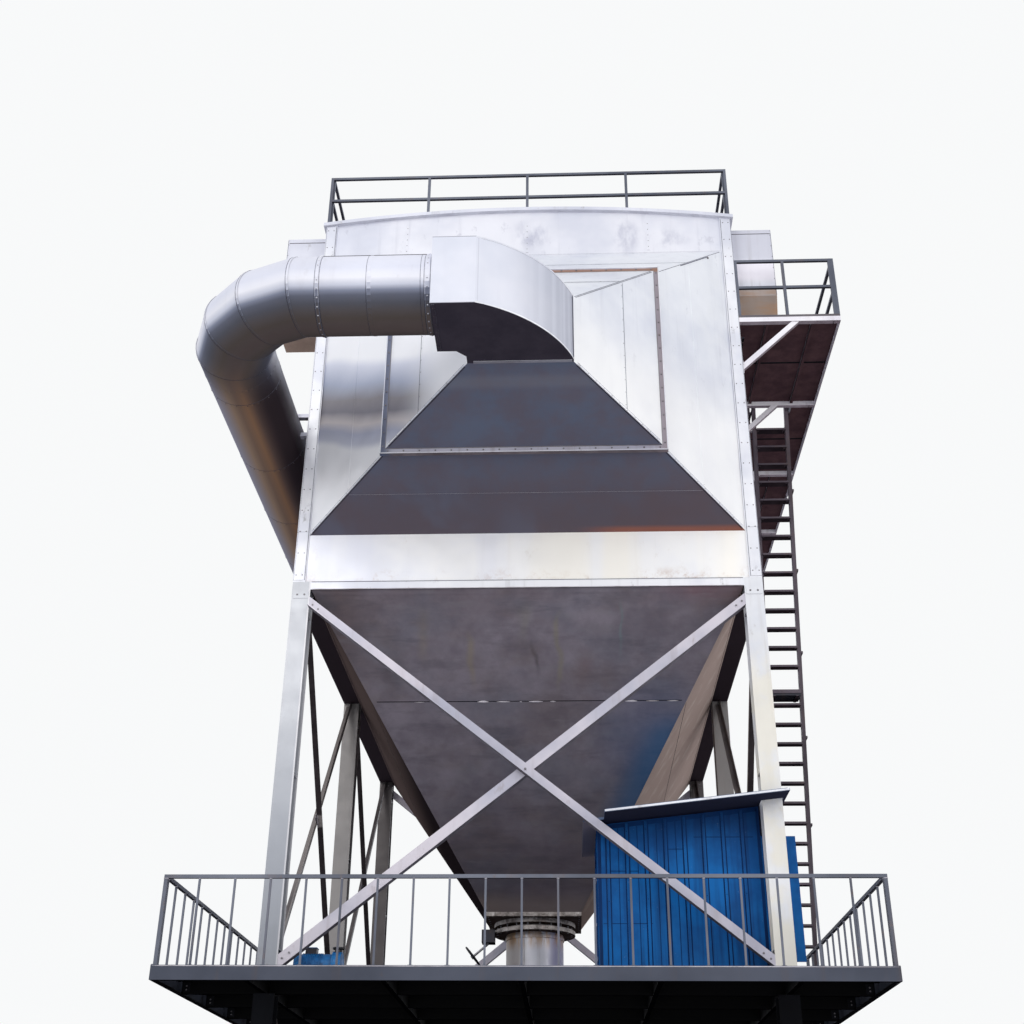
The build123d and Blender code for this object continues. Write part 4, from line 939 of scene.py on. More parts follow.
def duct_seams():
    """Lap rings and welded gore joints round the duct, with screws and two long laps."""
    made = Build("duct_seams", "seam_dark trim_sheet bolt_steel duct_sheet")
    gores, run_laps = 4, (-1.43, 0.35, 2.03, 3.75, 5.49, 7.2, 8.95)
    level = [(-1.17, 0.006, 0.003, 0), (BEND_X + 0.62, 0.005, 0.003, 0), (BEND_X + 0.655, 0.05, 0.003, 3)]
    # The raised collar where the bend starts, with its pop rivets, and the collar at the elbow
    for x, wide in ((BEND_X + 0.02, 0.05), (-1.085, 0.07)):
        level += [(x, wide, 0.008, 3), (x + wide / 2 + 0.003, 0.006, 0.004, 0)]
        level.append((x - wide / 2 - 0.004, 0.006, 0.003, 0))
        for c, s in circle(28):
            outward = Vector((0, c, s))
            if c > -0.99:
                made.rivet(Vector((x, DUCT_Y, DUCT_H)) + outward * (DUCT_R + 0.008), outward, 0.011)
    for x, wide, height, material in level:
        hoop(made, (x, DUCT_Y, DUCT_H), (0, 1, 0), DUCT_R, wide, height, material)
    # The long lap on top of the level part
    angle = math.radians(46)
    lap = Vector((0, -math.cos(angle), math.sin(angle)))
    start, end = (Vector((x, DUCT_Y, DUCT_H)) + lap * DUCT_R for x in (BEND_X + 0.05, -1.12))
    made.bar(start, end, 0.012, 0.006, lap)
    # Gore joints: ellipses in the mitre planes of the bend
    half = math.pi / 4 / gores
    for step in range(gores):
        angle = (2 * step + 1) * half
        outward = Vector((-math.sin(angle), -math.cos(angle), 0))
        joint = Vector((BEND_X, DUCT_Y + BEND_R, DUCT_H)) + outward * BEND_R / math.cos(half)
        hoop(made, joint, outward, DUCT_R / math.cos(half), 0.008, 0.003)
        beside = joint + Vector((-outward.y, outward.x, 0)) * 0.022
        hoop(made, beside, outward, DUCT_R / math.cos(half), 0.026, 0.003, 3)
    for y in run_laps:
        hoop(made, (DUCT_X, y, DUCT_H), RIGHT, DUCT_R, 0.008, 0.003)
        hoop(made, (DUCT_X, y + 0.03, DUCT_H), RIGHT, DUCT_R, 0.045, 0.003, 3)
        for c, s in circle(20, 0.5):
            outward = Vector((c, 0, s))
            made.rivet(Vector((DUCT_X, y + 0.03, DUCT_H)) + outward * (DUCT_R + 0.003), outward, 0.008, 2)
    hoop(made, (DUCT_X, BEND_Y + 0.02, DUCT_H), RIGHT, DUCT_R, 0.05, 0.004, 3)
    angle = math.radians(150)
    side = Vector((math.cos(angle), 0, math.sin(angle)))
    start, end = (Vector((DUCT_X, y, DUCT_H)) + side * DUCT_R for y in (BEND_Y + 0.1, run_high.y - 0.05))
    made.bar(start, end, 0.04, 0.004, side, 3)
    made.done()


def duct_ends():
    """Bolts of the end flange, and bolts and welds of each bracket."""
    made = Build("duct_fixings", "bolt_steel weld_steel")
    low, high = local(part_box("duct_flange"))
    reach = high.z - DUCT_H - 0.045
    for c, s in circle(16):
        made.bolt((DUCT_X + reach * c, low.y, DUCT_H + reach * s), AHEAD, 0.018, 0)
    low, high = local(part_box("duct_brackets"))
    for line in (0.085, COLUMN_LINES[1] - 0.04, LENGTH - 0.085):
        for h in (low.z, high.z - 0.06):
            made.bolts([high.x - 0.05], [line - 0.03, line + 0.03], [h], DOWN, 0.011, 0)
            start, end = (high.x - 0.001, line - 0.045, h), (high.x - 0.001, line + 0.045, h)
            made.bead(start, end, 0.007, DOWN, 1, 0.02, 5)
    made.done()


def elbow_dressing():
    """The elbow's folded edges, its upright laps and the collar over the neck."""
    made = Build("elbow_dressing", "seam_dark trim_sheet elbow_sheet bolt_steel")
    left, right, front = elbow_low.x, elbow_high.x, elbow_low.y
    foot, head = elbow_low.z, elbow_high.z
    turn_width, turn_depth, radius = 1.18, 1.22, 2.0
    start, end = Vector((right, front + turn_depth)), Vector((right - turn_width, front))
    chord = end - start
    away = Vector((-chord.y, chord.x)).normalized()
    if away.dot((start + end) / 2 - Vector((0, -1))) > 0:
        away.negate()
    centre = (start + end) / 2 + away * math.sqrt(radius * radius - chord.length_squared / 4)
    first, last = (math.atan2(point.y - centre.y, point.x - centre.x) for point in (start, end))
    path = [centre + radius * Vector((math.cos(angle), math.sin(angle))) for angle in spread(first, last, 17)]
    outline = [Vector((right, -2.36)), *path, Vector((left, front))]
    outline = [Vector((point.x - 0.002, point.y)) if point.x > right - 0.001 else point for point in outline]
    for here, there in zip(outline, outline[1:]):
        run = there - here
        if run.length < 0.001:
            continue
        outward = Vector((run.y, -run.x, 0)).normalized()
        if outward.xy.dot((here + there) / 2 - Vector((-0.3, -2.4))) < 0:
            outward.negate()
        if outward.y > -0.99:
            for h in (foot + 0.012, head - 0.012):
                made.bar((*here, h), (*there, h), 0.024, 0.003, outward, 1)
    # Laps and a cover strip where the elbow meets the neck, and the angle under it
    neck, joint, under = -2.40, -2.432, -2.372
    made.bar((right, neck, foot + 0.02), (right, neck, head - 0.02), 0.05, 0.003, RIGHT, 1)
    made.bar((right, joint, foot + 0.02), (right, joint, head - 0.02), 0.008, 0.004, RIGHT)
    made.bar((-0.6, under, foot), (0.66, under, foot), 0.05, 0.006, DOWN, 1)
    inner = left + 0.03
    made.bar((inner, front + 0.03, foot), (inner, front + 0.97, foot), 0.045, 0.006, DOWN, 2)
    start, end = (inner, front + 0.05, foot - 0.006), (inner, front + 0.95, foot - 0.006)
    made.rivets(start, end, 0.15, DOWN, 0.008, 3)
    for x, y in ((-0.75, front + 0.15), (-0.2, front + 0.19)):
        made.bar((x, y, head), (x, -2.5, head), 0.03, 0.012, UP, 2)
    made.done()


def frame_joints():
    """Feet, splices and stiffeners of the columns, with bolts and welds."""
    made = Build("frame_joints", "column_steel bolt_steel weld_steel deck_steel")
    head = BEAM_FOOT
    for line in COLUMN_LINES:
        y0, y1 = line - 0.125, line + 0.125
        for side in SIDES:
            x0, x1 = sorted((side * (HALF - 0.25), side * HALF))
            middle = (x0 + x1) / 2
            # Foot: two plates beside the column with four hold-down bolts
            made.box((x0 - 0.05, y0 - 0.05, 0.0), (x1 + 0.05, y0 - 0.001, 0.014), 3)
            made.box((x0 - 0.05, y1 + 0.001, 0.0), (x1 + 0.05, y1 + 0.05, 0.014), 3)
            made.bolts((x0 + 0.02, x1 - 0.02), (y0 - 0.026, y1 + 0.026), [0.014], UP, 0.017)
            for y, back in ((y0, -1), (y1, 1)):
                out = (0, back, 0)
                made.bead((x0 + 0.005, y, 0.016), (x1 - 0.005, y, 0.016), 0.008, out, 2, 0.02, 3)
                # Splice plate under the sill beam
                made.box((x0 + 0.02, y, head - 0.13), (x1 - 0.02, y + 0.006 * back, head - 0.02))
                made.bolts((x0 + 0.075, x1 - 0.075), [y + 0.006 * back], [head - 0.075], out, 0.013)
            # Web stiffeners on the H section
            for h in (0.35, 2.5, head - 0.36):
                for way in SIDES:
                    start, end = middle + way * 0.0045, middle + way * 0.12
                    made.box((start, y0 + 0.014, h), (end, y1 - 0.014, h + 0.008))
    made.done()


def brace_joints():
    """Bolts and centre plates where the crossed angles meet."""
    made = Build("brace_joints", "brace_steel bolt_steel")
    inner = local(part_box("brace_front"))[1].x
    drop, lift = 0.19, 0.20
    middle = (BEAM_FOOT - drop + lift) / 2
    rise = (BEAM_FOOT - drop - lift) / (2 * inner)
    for y, back in ((-0.0035, -1), (LENGTH + 0.0035, 1)):
        out = (0, back, 0)
        made.bolt((0, y + 0.0106 * back, middle), out, 0.014)
        for share in (0.05, 0.13):
            heights = (lift + rise * share, BEAM_FOOT - drop - rise * share)
            made.bolts((share - inner, inner - share), [y], heights, out, 0.012)
    half = BEAM_FOOT / 2
    for near, far in zip(COLUMN_LINES, COLUMN_LINES[1:]):
        y = (near + far) / 2
        for side in SIDES:
            for way, shift in ((-1, -0.0115), (1, 0.0105)):
                face = side * (HALF - 0.125) + shift
                corners = [(face, y - 0.12 * c, half - 0.12 * s) for c, s in circle(4)]
                made.plate(corners, 0.004, (way, 0, 0))
                for c, s in circle(4):
                    made.bolt((face + 0.004 * way, y - 0.06 * c, half - 0.06 * s), (way, 0, 0), 0.011)
    made.done()


def beam_joints():
    """A lip and welds on the sill beam, and its row of bolts."""
    made = Build("beam_joints", "trim_sheet bolt_steel weld_steel seam_dark")
    across, low, high = HALF - 0.26, BEAM_HEAD - 0.010, BEAM_HEAD - 0.002
    for y, back in ((0.0, -1), (LENGTH, 1)):
        made.box((-across, y, low), (across, y + 0.004 * back, high), 3)
        start, end = (-across, y, BEAM_FOOT + 0.006), (across, y, BEAM_FOOT + 0.006)
        made.bead(start, end, 0.006, (0, back, 0), 2, 0.08, 11)
    middle = (BEAM_FOOT + BEAM_HEAD) / 2
    for side in SIDES:
        x = side * HALF
        for first, second in zip(COLUMN_LINES, COLUMN_LINES[1:]):
            near, far = first + 0.13, second - 0.13
            made.box((x, near, low), (x + 0.004 * side, far, high), 3)
            made.bolts([x], spread(near + 0.3, far - 0.3, 9), [middle], (side, 0, 0), 0.010)
    made.done()


duct_seams()
duct_ends()
elbow_dressing()
frame_joints()
brace_joints()
beam_joints()


hopper_low, hopper_high = local(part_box("hopper"))
flange_low, flange_high = local(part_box("hopper_flange"))
HOP_HEAD, HOP_FOOT = hopper_high.z, hopper_low.z
HOP_MIDDLE = LENGTH / 2
HOP_X, HOP_Y, HOP_NARROW = hopper_high.x, (hopper_high.y - hopper_low.y) / 2, flange_high.x


def hopper_point(face, across, height):
    """A point on a hopper face, which faces along x or y: across runs from -1 to 1 along it."""
    share = (HOP_HEAD - height) / (HOP_HEAD - HOP_FOOT)
    half_x, half_y = (wide + (HOP_NARROW - wide) * share for wide in (HOP_X, HOP_Y))
    if face[1]:
        return Vector((half_x * across, HOP_MIDDLE + face[1] * half_y, height))
    return Vector((face[0] * half_x, HOP_MIDDLE + half_y * across, height))


def hopper_dressing():
    """Weld runs between the hopper's sheets, its corner strips and the outlet's bolts."""
    made = Build("hopper_dressing", "hopper_steel weld_steel bolt_steel dark_fitting")
    rng = random.Random(17)
    for face in (AHEAD, (0, 1, 0), (-1, 0, 0), RIGHT):
        a, b, c = (hopper_point(face, *spot) for spot in ((-1, HOP_HEAD), (1, HOP_HEAD), (0, HOP_FOOT)))
        normal = (b - a).cross(c - a).normalized()
        if normal.z > 0:
            normal.negate()
        height, strip_end = 3.92, 0.97
        start, end = (hopper_point(face, across, height) for across in (-strip_end, strip_end))
        made.bar(start, end, 0.012, 0.0015, normal, 3)
        place = -0.95
        while place < 0.93 and face[1]:
            reach = rng.uniform(0.01, 0.09)
            if rng.random() < 0.55:
                start = hopper_point(face, place, height - 0.006)
                end = hopper_point(face, min(place + reach, 0.95), height - 0.006)
                made.bead(start, end, rng.uniform(0.008, 0.016), normal, 1, 0.05, rng.randrange(999))
            place += reach + rng.uniform(0.01, 0.08)
        for across in SIDES:
            inward = hopper_point(face, 0, HOP_HEAD) - hopper_point(face, across, HOP_HEAD)
            inward = inward.normalized() * 0.012
            start, end = (hopper_point(face, across, h) + inward for h in (HOP_HEAD - 0.03, HOP_FOOT + 0.02))
            made.bar(start, end, 0.02, 0.002, normal)
        start, end = (hopper_point(face, across, HOP_HEAD - 0.035) for across in (-0.98, 0.98))
        made.bar(start, end, 0.06, 0.004, normal)
        # Bolts of the outlet's square flange
        for across in spread(-0.9, 0.9, 9):
            spot = hopper_point(face, across, HOP_FOOT)
            inward = Vector((-spot.x, HOP_MIDDLE - spot.y, 0)).normalized()
            outside = spot + inward * 0.045
            made.bolt((outside.x, outside.y, HOP_FOOT - 0.06), DOWN, 0.012, 2)
    made.done()


def outlet_dressing():
    """Bolts between the outlet's rings, the gate gear with its hand wheel, and the pipe's bands."""
    made = Build("outlet_dressing", "outlet_steel bolt_steel pipe_steel dark_fitting")
    upper, lower, reach = flange_high.z - 0.12, flange_low.z, 0.575
    for c, s in circle(20, 0.5):
        x, y = reach * c, HOP_MIDDLE + reach * s
        made.bolts([x], [y], (upper, lower), DOWN, 0.015)
        made.rod((x, y, upper - 0.01), (x, y, lower + 0.05), 0.008, 8, 1)
    for height, wide in ((lower - 0.06, 0.05), (0.75, 0.05), (0.03, 0.06)):
        band = [(-wide / 2, 0.438), (-wide / 2, 0.452), (wide / 2, 0.452), (wide / 2, 0.438)]
        made.turned((0, HOP_MIDDLE, height), UP, band, 40, 2, smooth=False)
    for c, s in ((math.cos(angle), math.sin(angle)) for angle in (math.radians(250), math.radians(70))):
        x, y = 0.441 * c, HOP_MIDDLE + 0.441 * s
        made.bead((x, y, 0.06), (x, y, lower - 0.09), 0.006, (c, s, 0), 1, 0.04, 9)
    # Gate gear on the left of the outlet: a spindle, its bearing box and a hand wheel
    y, spokes, steps = HOP_MIDDLE - 0.25, 4, 28
    wheel = Vector((-0.93, y, 0.98))
    made.rod((-0.60, y, 1.28), (-0.66, y, 1.28), 0.06, 12, 3)
    made.box((-0.80, y - 0.11, 1.17), (-0.60, y + 0.11, 1.36), 3)
    made.rod((-0.70, y, 1.17), wheel, 0.018, 10, 1)
    axis = Vector((-0.23, 0, -0.19)).normalized()
    ring = made.ring(wheel, axis, 0.17, steps)
    for here, there in zip(ring, ring[1:] + ring[:1]):
        made.rod(here, there, 0.013, 6, 3)
    for end in ring[::steps // spokes]:
        made.rod(wheel, end, 0.009, 6, 3)
    made.rod(wheel - axis * 0.02, wheel + axis * 0.03, 0.03, 12, 3)
    made.done(bevel=0.002)


hopper_dressing()
outlet_dressing()


floor_low, floor_high = local(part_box("platform_floor"))
stile_low, stile_high = local(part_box("ladder_stiles"))
FLOOR_FOOT, OUT_X = floor_low.z, floor_high.x
TREAD_RISE, LANDING = 0.295, 4.9
BRACKETS = spread(0.0495, LENGTH - 0.0495, 5)


def ladder_at(height):
    """The middle of the ladder's stiles at a height, as a place in y."""
    foot = stile_high.y - 0.045
    return foot + (stile_low.y + 0.045 - foot) * height / stile_high.z


def platform_dressing():
    """Under the platform: sheet laps, joist angles, a conduit and the bolts of each bracket."""
    made = Build("platform_dressing", "platform_steel bolt_steel dark_fitting white_angle")
    foot = FLOOR_FOOT
    for near, far in zip(BRACKETS, BRACKETS[1:]):
        for x in (HALF + 0.42, OUT_X - 0.42):
            if not (near < 3.3 < far or near < 2.44 < far):
                made.box((x, near + 0.05, foot - 0.05), (x + 0.006, far - 0.05, foot))
                made.box((x, near + 0.05, foot - 0.05), (x + 0.045, far - 0.05, foot - 0.044))
        lap = (near + far) / 2
        if not 2.3 < lap < 3.5:
            made.box((HALF + 0.02, lap - 0.02, foot - 0.003), (OUT_X - 0.02, lap + 0.02, foot), 2)
    for line in BRACKETS:
        across = (HALF + 0.05, HALF + 0.86, OUT_X - 0.1)
        made.bolts(across, (line - 0.022, line + 0.022), [foot - 0.08], DOWN, 0.010)
        made.box((HALF, line - 0.07, foot - 1.02), (HALF + 0.006, line + 0.07, foot - 0.80), 3)
        made.bolts([HALF + 0.006], (line - 0.052, line + 0.052), (foot - 0.97, foot - 0.85), RIGHT, 0.012)
    # Conduit clipped along the casing, with its junction box
    near, far = 0.3, LENGTH - 0.3
    made.rod((HALF + 0.09, near, foot - 0.16), (HALF + 0.09, far, foot - 0.16), 0.018, 10, 2)
    for y in spread(near + 0.1, far - 0.1, 8):
        made.box((HALF, y - 0.015, foot - 0.185), (HALF + 0.1, y + 0.015, foot - 0.18))
        made.box((HALF, y - 0.015, foot - 0.20), (HALF + 0.005, y + 0.015, foot - 0.12))
    made.box((HALF, 1.1, foot - 0.42), (HALF + 0.12, 1.34, foot - 0.178), 2)
    made.box((HALF + 0.12, 1.115, foot - 0.405), (HALF + 0.126, 1.325, foot - 0.19), 2)
    for y in (1.13, 1.31):
        for h in (-0.39, -0.205):
            made.rivet((HALF + 0.126, y, foot + h), RIGHT, 0.008)
    # Splice plates inside the edge angle
    for y in (0.9, 3.2, 5.6, 8.0):
        made.box((OUT_X - 0.014, y - 0.1, foot - 0.07), (OUT_X - 0.0125, y + 0.1, foot - 0.01), 3)
    made.done()


def ladder_dressing():
    """Tread cleats, the landing's bars, the ladder's feet and its ties to the platform."""
    made = Build("ladder_dressing", "ladder_steel bolt_steel dark_fitting weld_steel")
    left, right = stile_low.x + 0.06, stile_high.x - 0.06
    for tread in range(1, int((FLOOR_FOOT - 0.1) / TREAD_RISE) + 1):
        height = tread * TREAD_RISE
        y = ladder_at(height)
        if abs(height - LANDING) > TREAD_RISE / 2:
            for x, side in ((left, 1), (right, -1)):
                made.box((x, y - 0.035, height - 0.036), (x + side * 0.045, y + 0.035, height - 0.03))
                made.box((x, y - 0.035, height - 0.075), (x + side * 0.005, y + 0.035, height - 0.03))
            # Nosing lip
            made.box((left + 0.002, y - 0.079, height - 0.034), (right - 0.002, y - 0.0752, height - 0.001))
    y = ladder_at(LANDING)
    for bar in spread(y - 0.15, y + 0.15, 9):
        start = (left + 0.002, bar - 0.004, LANDING - 0.096)
        made.box(start, (right - 0.002, bar + 0.004, LANDING - 0.06), 2)
    for x in (left + 0.06, right - 0.06):
        made.box((x - 0.02, y - 0.16, LANDING - 0.104), (x + 0.02, y + 0.16, LANDING - 0.096))
    foot, top = ladder_at(0.0), ladder_at(FLOOR_FOOT - 0.06)
    for x, side in ((stile_low.x, -1), (stile_high.x, 1)):
        made.box((x, foot - 0.12, 0.0), (x - side * 0.06, foot - 0.047, 0.012))
        made.bolt((x - side * 0.03, foot - 0.09, 0.012), UP, 0.014)
        start, end = (x - side * 0.055, foot - 0.046, 0.013), (x - side * 0.005, foot - 0.046, 0.013)
        made.bead(start, end, 0.008, AHEAD, 3, 0.02, 5)
        # Tie from the stile up to the platform's bracket
        out = x + side * 0.008
        made.box((x, top - 0.16, FLOOR_FOOT - 0.075), (out, top + 0.03, FLOOR_FOOT - 0.015))
        made.bolts([out], (top - 0.03, top + 0.01), [FLOOR_FOOT - 0.045], (side, 0, 0), 0.011)
    made.done()


def rail_feet():
    """Foot plates, bolts and welds of the deck's railing."""
    made = Build("rail_feet", "rail_steel bolt_steel weld_steel")
    (low, high), (side_low, side_high) = local(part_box("deck_rail_ends")), local(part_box("deck_rail_sides"))
    post, bar = 0.021, 0.012
    rows = []
    for y in (low.y + post, high.y - post):
        rows += [(low.x + post, y, post), (high.x - post, y, post)]
        rows += [(x, y, bar) for x in spread(low.x, high.x, 21)[1:-1]]
    gap = (ladder_at(0.0) - 0.45, ladder_at(0.0) + 0.70)
    left, right, start, end = side_low.x + post, side_high.x - post, side_low.y, side_high.y
    for x, near, far in ((left, start, end), (right, start, gap[0]), (right, gap[1], end)):
        rows += [(x, near + post, post), (x, far - post, post)]
        rows += [(x, y, bar) for y in spread(near, far, round((far - near) / 0.413) + 1)[1:-1]]
    for x, y, half in rows:
        wide = half + 0.016
        for way in SIDES:
            made.box((x - wide, y + way * half, 0.0), (x + wide, y + way * wide, 0.006))
            made.box((x + way * half, y - half, 0.0), (x + way * wide, y + half, 0.006))
            if half == post:
                corner = way * (half + 0.008)
                made.bolt((x + corner, y + corner, 0.006), UP, 0.006, washer=False)
        cap = [(0, half * 1.02), (0.004, half * 1.5), (0.008, half * 1.5)]
        made.turned((x, y, high.z - 0.05), UP, cap, 8, 2)
    made.done()


def fascia_dressing():
    """Welds on the deck's edge channel, and cleats where the joists meet it."""
    made = Build("fascia_dressing", "fascia_steel bolt_steel weld_steel under_steel")
    low, high = local(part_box("deck_frame"))[0].z, -0.010
    start, end = deck_low + Vector((0.02, 0.02, 0)), deck_high - Vector((0.02, 0.02, 0))
    for y, back in ((deck_low.y + 0.0005, -1), (deck_high.y - 0.0005, 1)):
        made.bead((start.x, y, high), (end.x, y, high), 0.004, (0, back, 0), 2, 0.11, 21)
    for x, side in ((deck_low.x, -1), (deck_high.x, 1)):
        made.bead((x, start.y, high), (x, end.y, high), 0.004, (side, 0, 0), 2, 0.11, 22)
    # Under the deck: cleats where the joists meet the channels, and bolts through them
    gaps = round((deck_high.y - deck_low.y) / 1.15)
    for y in spread(deck_low.y, deck_high.y, gaps + 1)[1:-1]:
        for x, side in ((deck_low.x + 0.077, 1), (deck_high.x - 0.077, -1)):
            for way in SIDES:
                made.box((x, y + way * 0.03, low + 0.02), (x + side * 0.09, y + way * 0.037, high - 0.02), 3)
                heights = (low + 0.05, low + 0.09)
                made.bolts([x + side * 0.045], [y + way * 0.037], heights, (0, way, 0), 0.010)
    made.done()


def ground_dressing():
    """Anchor bolts with nuts, stiffened column feet and web stiffeners below the deck."""
    made = Build("ground_dressing", "base_steel bolt_steel under_steel weld_steel")
    top = local(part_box("base_plates"))[1].z
    for line in COLUMN_LINES:
        for side in SIDES:
            x = side * (HALF - 0.125)
            for a in (x - 0.175, x + 0.175):
                for b in (line - 0.175, line + 0.175):
                    made.rod((a, b, top), (a, b, top + 0.085), 0.011, 10, 1)
                    made.bolt((a, b, top), UP, 0.024)
            for way in SIDES:
                y = line + way * 0.125
                outline = ((0, 0), (0.1, 0), (0.02, 0.2), (0, 0.2))
                corners = [(x + 0.005, y + way * far, top + rise) for far, rise in outline]
                made.plate(corners, 0.01, (-1, 0, 0))
                start, end = (x - 0.115, y, top + 0.002), (x + 0.115, y, top + 0.002)
                made.bead(start, end, 0.008, (0, way, 0), 3, 0.02, 5)
                for h in (top + 0.35, -0.55):
                    made.box((x + way * 0.0045, line - 0.111, h), (x + way * 0.12, line + 0.111, h + 0.01), 2)
    made.done()


platform_dressing()
ladder_dressing()
rail_feet()
fascia_dressing()
ground_dressing()


SHED_X, SHED_Y = (0.9, 2.93), (0.27, 1.77)
SHED_SLOPE = 0.29 / 2.53
shed_roof_low, shed_roof_high = local(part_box("shed_roof"))


def shed_head(x, below=0.03):
    """The height of the shed's sloping roof at x, less a distance below its top."""
    return shed_roof_high.z - SHED_SLOPE * (shed_roof_high.x - x) - below


def shed_rib(made, x, y, normal, head):
    """A pressed rib with the shadow lines at its feet and its screws."""
    wide = 0.034
    along, out = Vector((-normal[1], normal[0], 0)), Vector(normal) * 0.012
    foot, top = Vector((x, y, 0.03)), Vector((x, y, head))
    made.bar(foot, top, wide, 0.012, normal)
    for side in SIDES:
        shift = along * side * (wide / 2 + 0.008)
        made.bar(foot + shift, top + shift, 0.014, 0.002, normal, 1)
    made.rivets(Vector((x, y, 0.12)) + out, Vector((x, y, head - 0.1)) + out, 0.86, normal, 0.006, 1, 0.0)


def shed_dressing():
    """Ribbed sheets with laps, screws and corner strips, a door, roof ribs and a pale front edge."""
    made = Build("shed_dressing", "shed_paint shed_seam bolt_steel shed_roof_paint shed_edge")
    left, right = SHED_X
    for y, back in zip(SHED_Y, SIDES):
        out = (0, back, 0)
        for x in spread(right - 0.223, right - 1.903, 8):
            shed_rib(made, x, y, out, shed_head(x) - 0.02)
            if x < 2.0:
                made.bar((x - 0.11, y, 0.05), (x - 0.11, y, shed_head(x - 0.11) - 0.07), 0.008, 0.003, out, 1)
        for start, end, h in ((1.72, 1.96, 1.59), (2.10, 2.84, 1.74), (0.95, 1.55, 0.69), (1.0, 1.4, 1.32)):
            made.bar((start, y, h), (end, y, h), 0.007, 0.003, out, 1)
        made.bar((left + 0.02, y, 0.03), (right - 0.02, y, 0.03), 0.05, 0.005, out, 1)
        for x, inside in ((left, left + 0.02), (right, right - 0.02)):
            made.bar((inside, y, 0.0), (inside, y, shed_head(x) - 0.01), 0.038, 0.004, out, 1)
        # A dark strip under the eaves: painted shadow of the roof
        start, end = (left + 0.03, y, shed_head(left) - 0.035), (right - 0.03, y, shed_head(right) - 0.035)
        made.bar(start, end, 0.05, 0.004, out, 1)
    for x, side in zip(SHED_X, SIDES):
        out = (side, 0, 0)
        for y in spread(SHED_Y[0] + 0.15, SHED_Y[0] + 1.35, 6):
            shed_rib(made, x, y, out, shed_head(x) - 0.02)
        made.bar((x, SHED_Y[0] + 0.03, 0.03), (x, SHED_Y[1] - 0.02, 0.03), 0.05, 0.005, out, 1)
    for x in (3.06, 3.20):
        for y, back in ((SHED_Y[0], -1), (SHED_Y[0] + 0.025, 1)):
            made.bar((x, y, 0.27), (x, y, 1.73), 0.03, 0.01, (0, back, 0))
    # A sheet door with strap hinges, a frame and a hasp on the side that faces away from the stair
    near, far, foot, head, out = 0.62, 1.42, 0.05, 1.62, (-1, 0, 0)
    for low, high in (((near, foot), (near, head)), ((far, foot), (far, head)), ((near, head), (far, head)),
                      ((near, foot), (far, foot))):
        made.bar((left, *low), (left, *high), 0.03, 0.018, out, 1)
    for h in (0.35, 1.3):
        made.bar((left - 0.014, near + 0.01, h), (left - 0.014, near + 0.26, h), 0.03, 0.005, out, 4)
    made.box((left - 0.03, far - 0.1, 0.85), (left - 0.012, far + 0.05, 0.89), 4)
    # Ribs of the roof, clear of the notch, and its pale front edge
    low, high = shed_roof_low, shed_roof_high
    y = low.y + 0.05
    while y < high.y - 0.02:
        start = low.x + (0.28 if y < 0.05 else 0.02)
        end = 2.92 if -0.02 < y < 0.27 else high.x - 0.02
        start, end = ((x, y, shed_head(x, 0.0)) for x in (start, end))
        made.bar(start, end, 0.03, 0.016, (-SHED_SLOPE, 0, 1), 3)
        y += 0.24
    start, end = ((x, low.y, shed_head(x, 0.012)) for x in (low.x + 0.265, high.x - 0.005))
    made.bar(start, end, 0.024, 0.004, AHEAD, 4)
    made.done()


def pump_dressing():
    """Motor ribs, fan cover, terminal box, bolted feet, branch flange and the rusty parts beside the set."""
    made = Build("pump_dressing", "pump_enamel bolt_steel dark_fitting rust_steel")
    back, front, y, axis, branch = -2.89, -2.42, 0.82, 0.265, -2.365
    for x in spread(back + 0.09, back + 0.332, 12):
        rib = [(0, 0.149), (0, 0.162), (0.007, 0.162), (0.007, 0.149)]
        made.turned((x, y, axis), RIGHT, rib, 24, smooth=False)
    cover = [(0, 0.12), (0.006, 0.152), (0.055, 0.156), (0.06, 0.149)]
    made.turned((back - 0.012, y, axis), RIGHT, cover, 24)
    for h in spread(axis - 0.08, axis + 0.06, 5):
        made.box((back - 0.016, y - 0.09, h), (back - 0.012, y + 0.09, h + 0.012), 2)
    made.box((back + 0.12, y - 0.06, axis + 0.14), (back + 0.26, y + 0.07, axis + 0.215), 2)
    made.box((back + 0.115, y - 0.065, axis + 0.215), (back + 0.265, y + 0.075, axis + 0.225))
    flange = [(0, 0.174), (0.0, 0.183), (0.016, 0.183), (0.016, 0.174)]
    made.turned((front - 0.002, y, axis), RIGHT, flange, 26, smooth=False)
    for c, s in circle(10):
        made.bolt((front - 0.002, y + 0.166 * c, axis + 0.166 * s), (-1, 0, 0), 0.010)
    neck = [(0, 0.05), (0.05, 0.045), (0.05, 0.075), (0.07, 0.075)]
    made.turned((branch, y, axis + 0.16), UP, neck, 18, 2, smooth=False)
    for c, s in circle(4, 0.5):
        made.bolt((branch + 0.058 * c, y + 0.058 * s, axis + 0.23), UP, 0.009)
    for x in (back + 0.06, back + 0.30, branch + 0.005):
        for side in SIDES:
            foot = y + side * 0.12
            made.box((x - 0.035, foot - 0.03, 0.09), (x + 0.035, foot + 0.03, 0.104))
            made.bolt((x, y + side * 0.125, 0.104), UP, 0.011)
    # Rusty brackets and a cut pipe piece standing beside the set
    made.box((-3.0, 0.70, 0.0), (-2.93, 0.95, 0.012), 3)
    made.box((-3.0, 0.70, 0.012), (-2.99, 0.95, 0.2), 3)
    piece = [(0, 0.035), (0, 0.075), (0.012, 0.075), (0.012, 0.045), (0.19, 0.045), (0.19, 0.035)]
    made.turned((-2.22, 0.78, 0.0), UP, piece, 16, 3, smooth=False)
    made.box((-2.15, 0.86, 0.0), (-2.05, 0.98, 0.07), 3)
    made.done(bevel=0.0015)


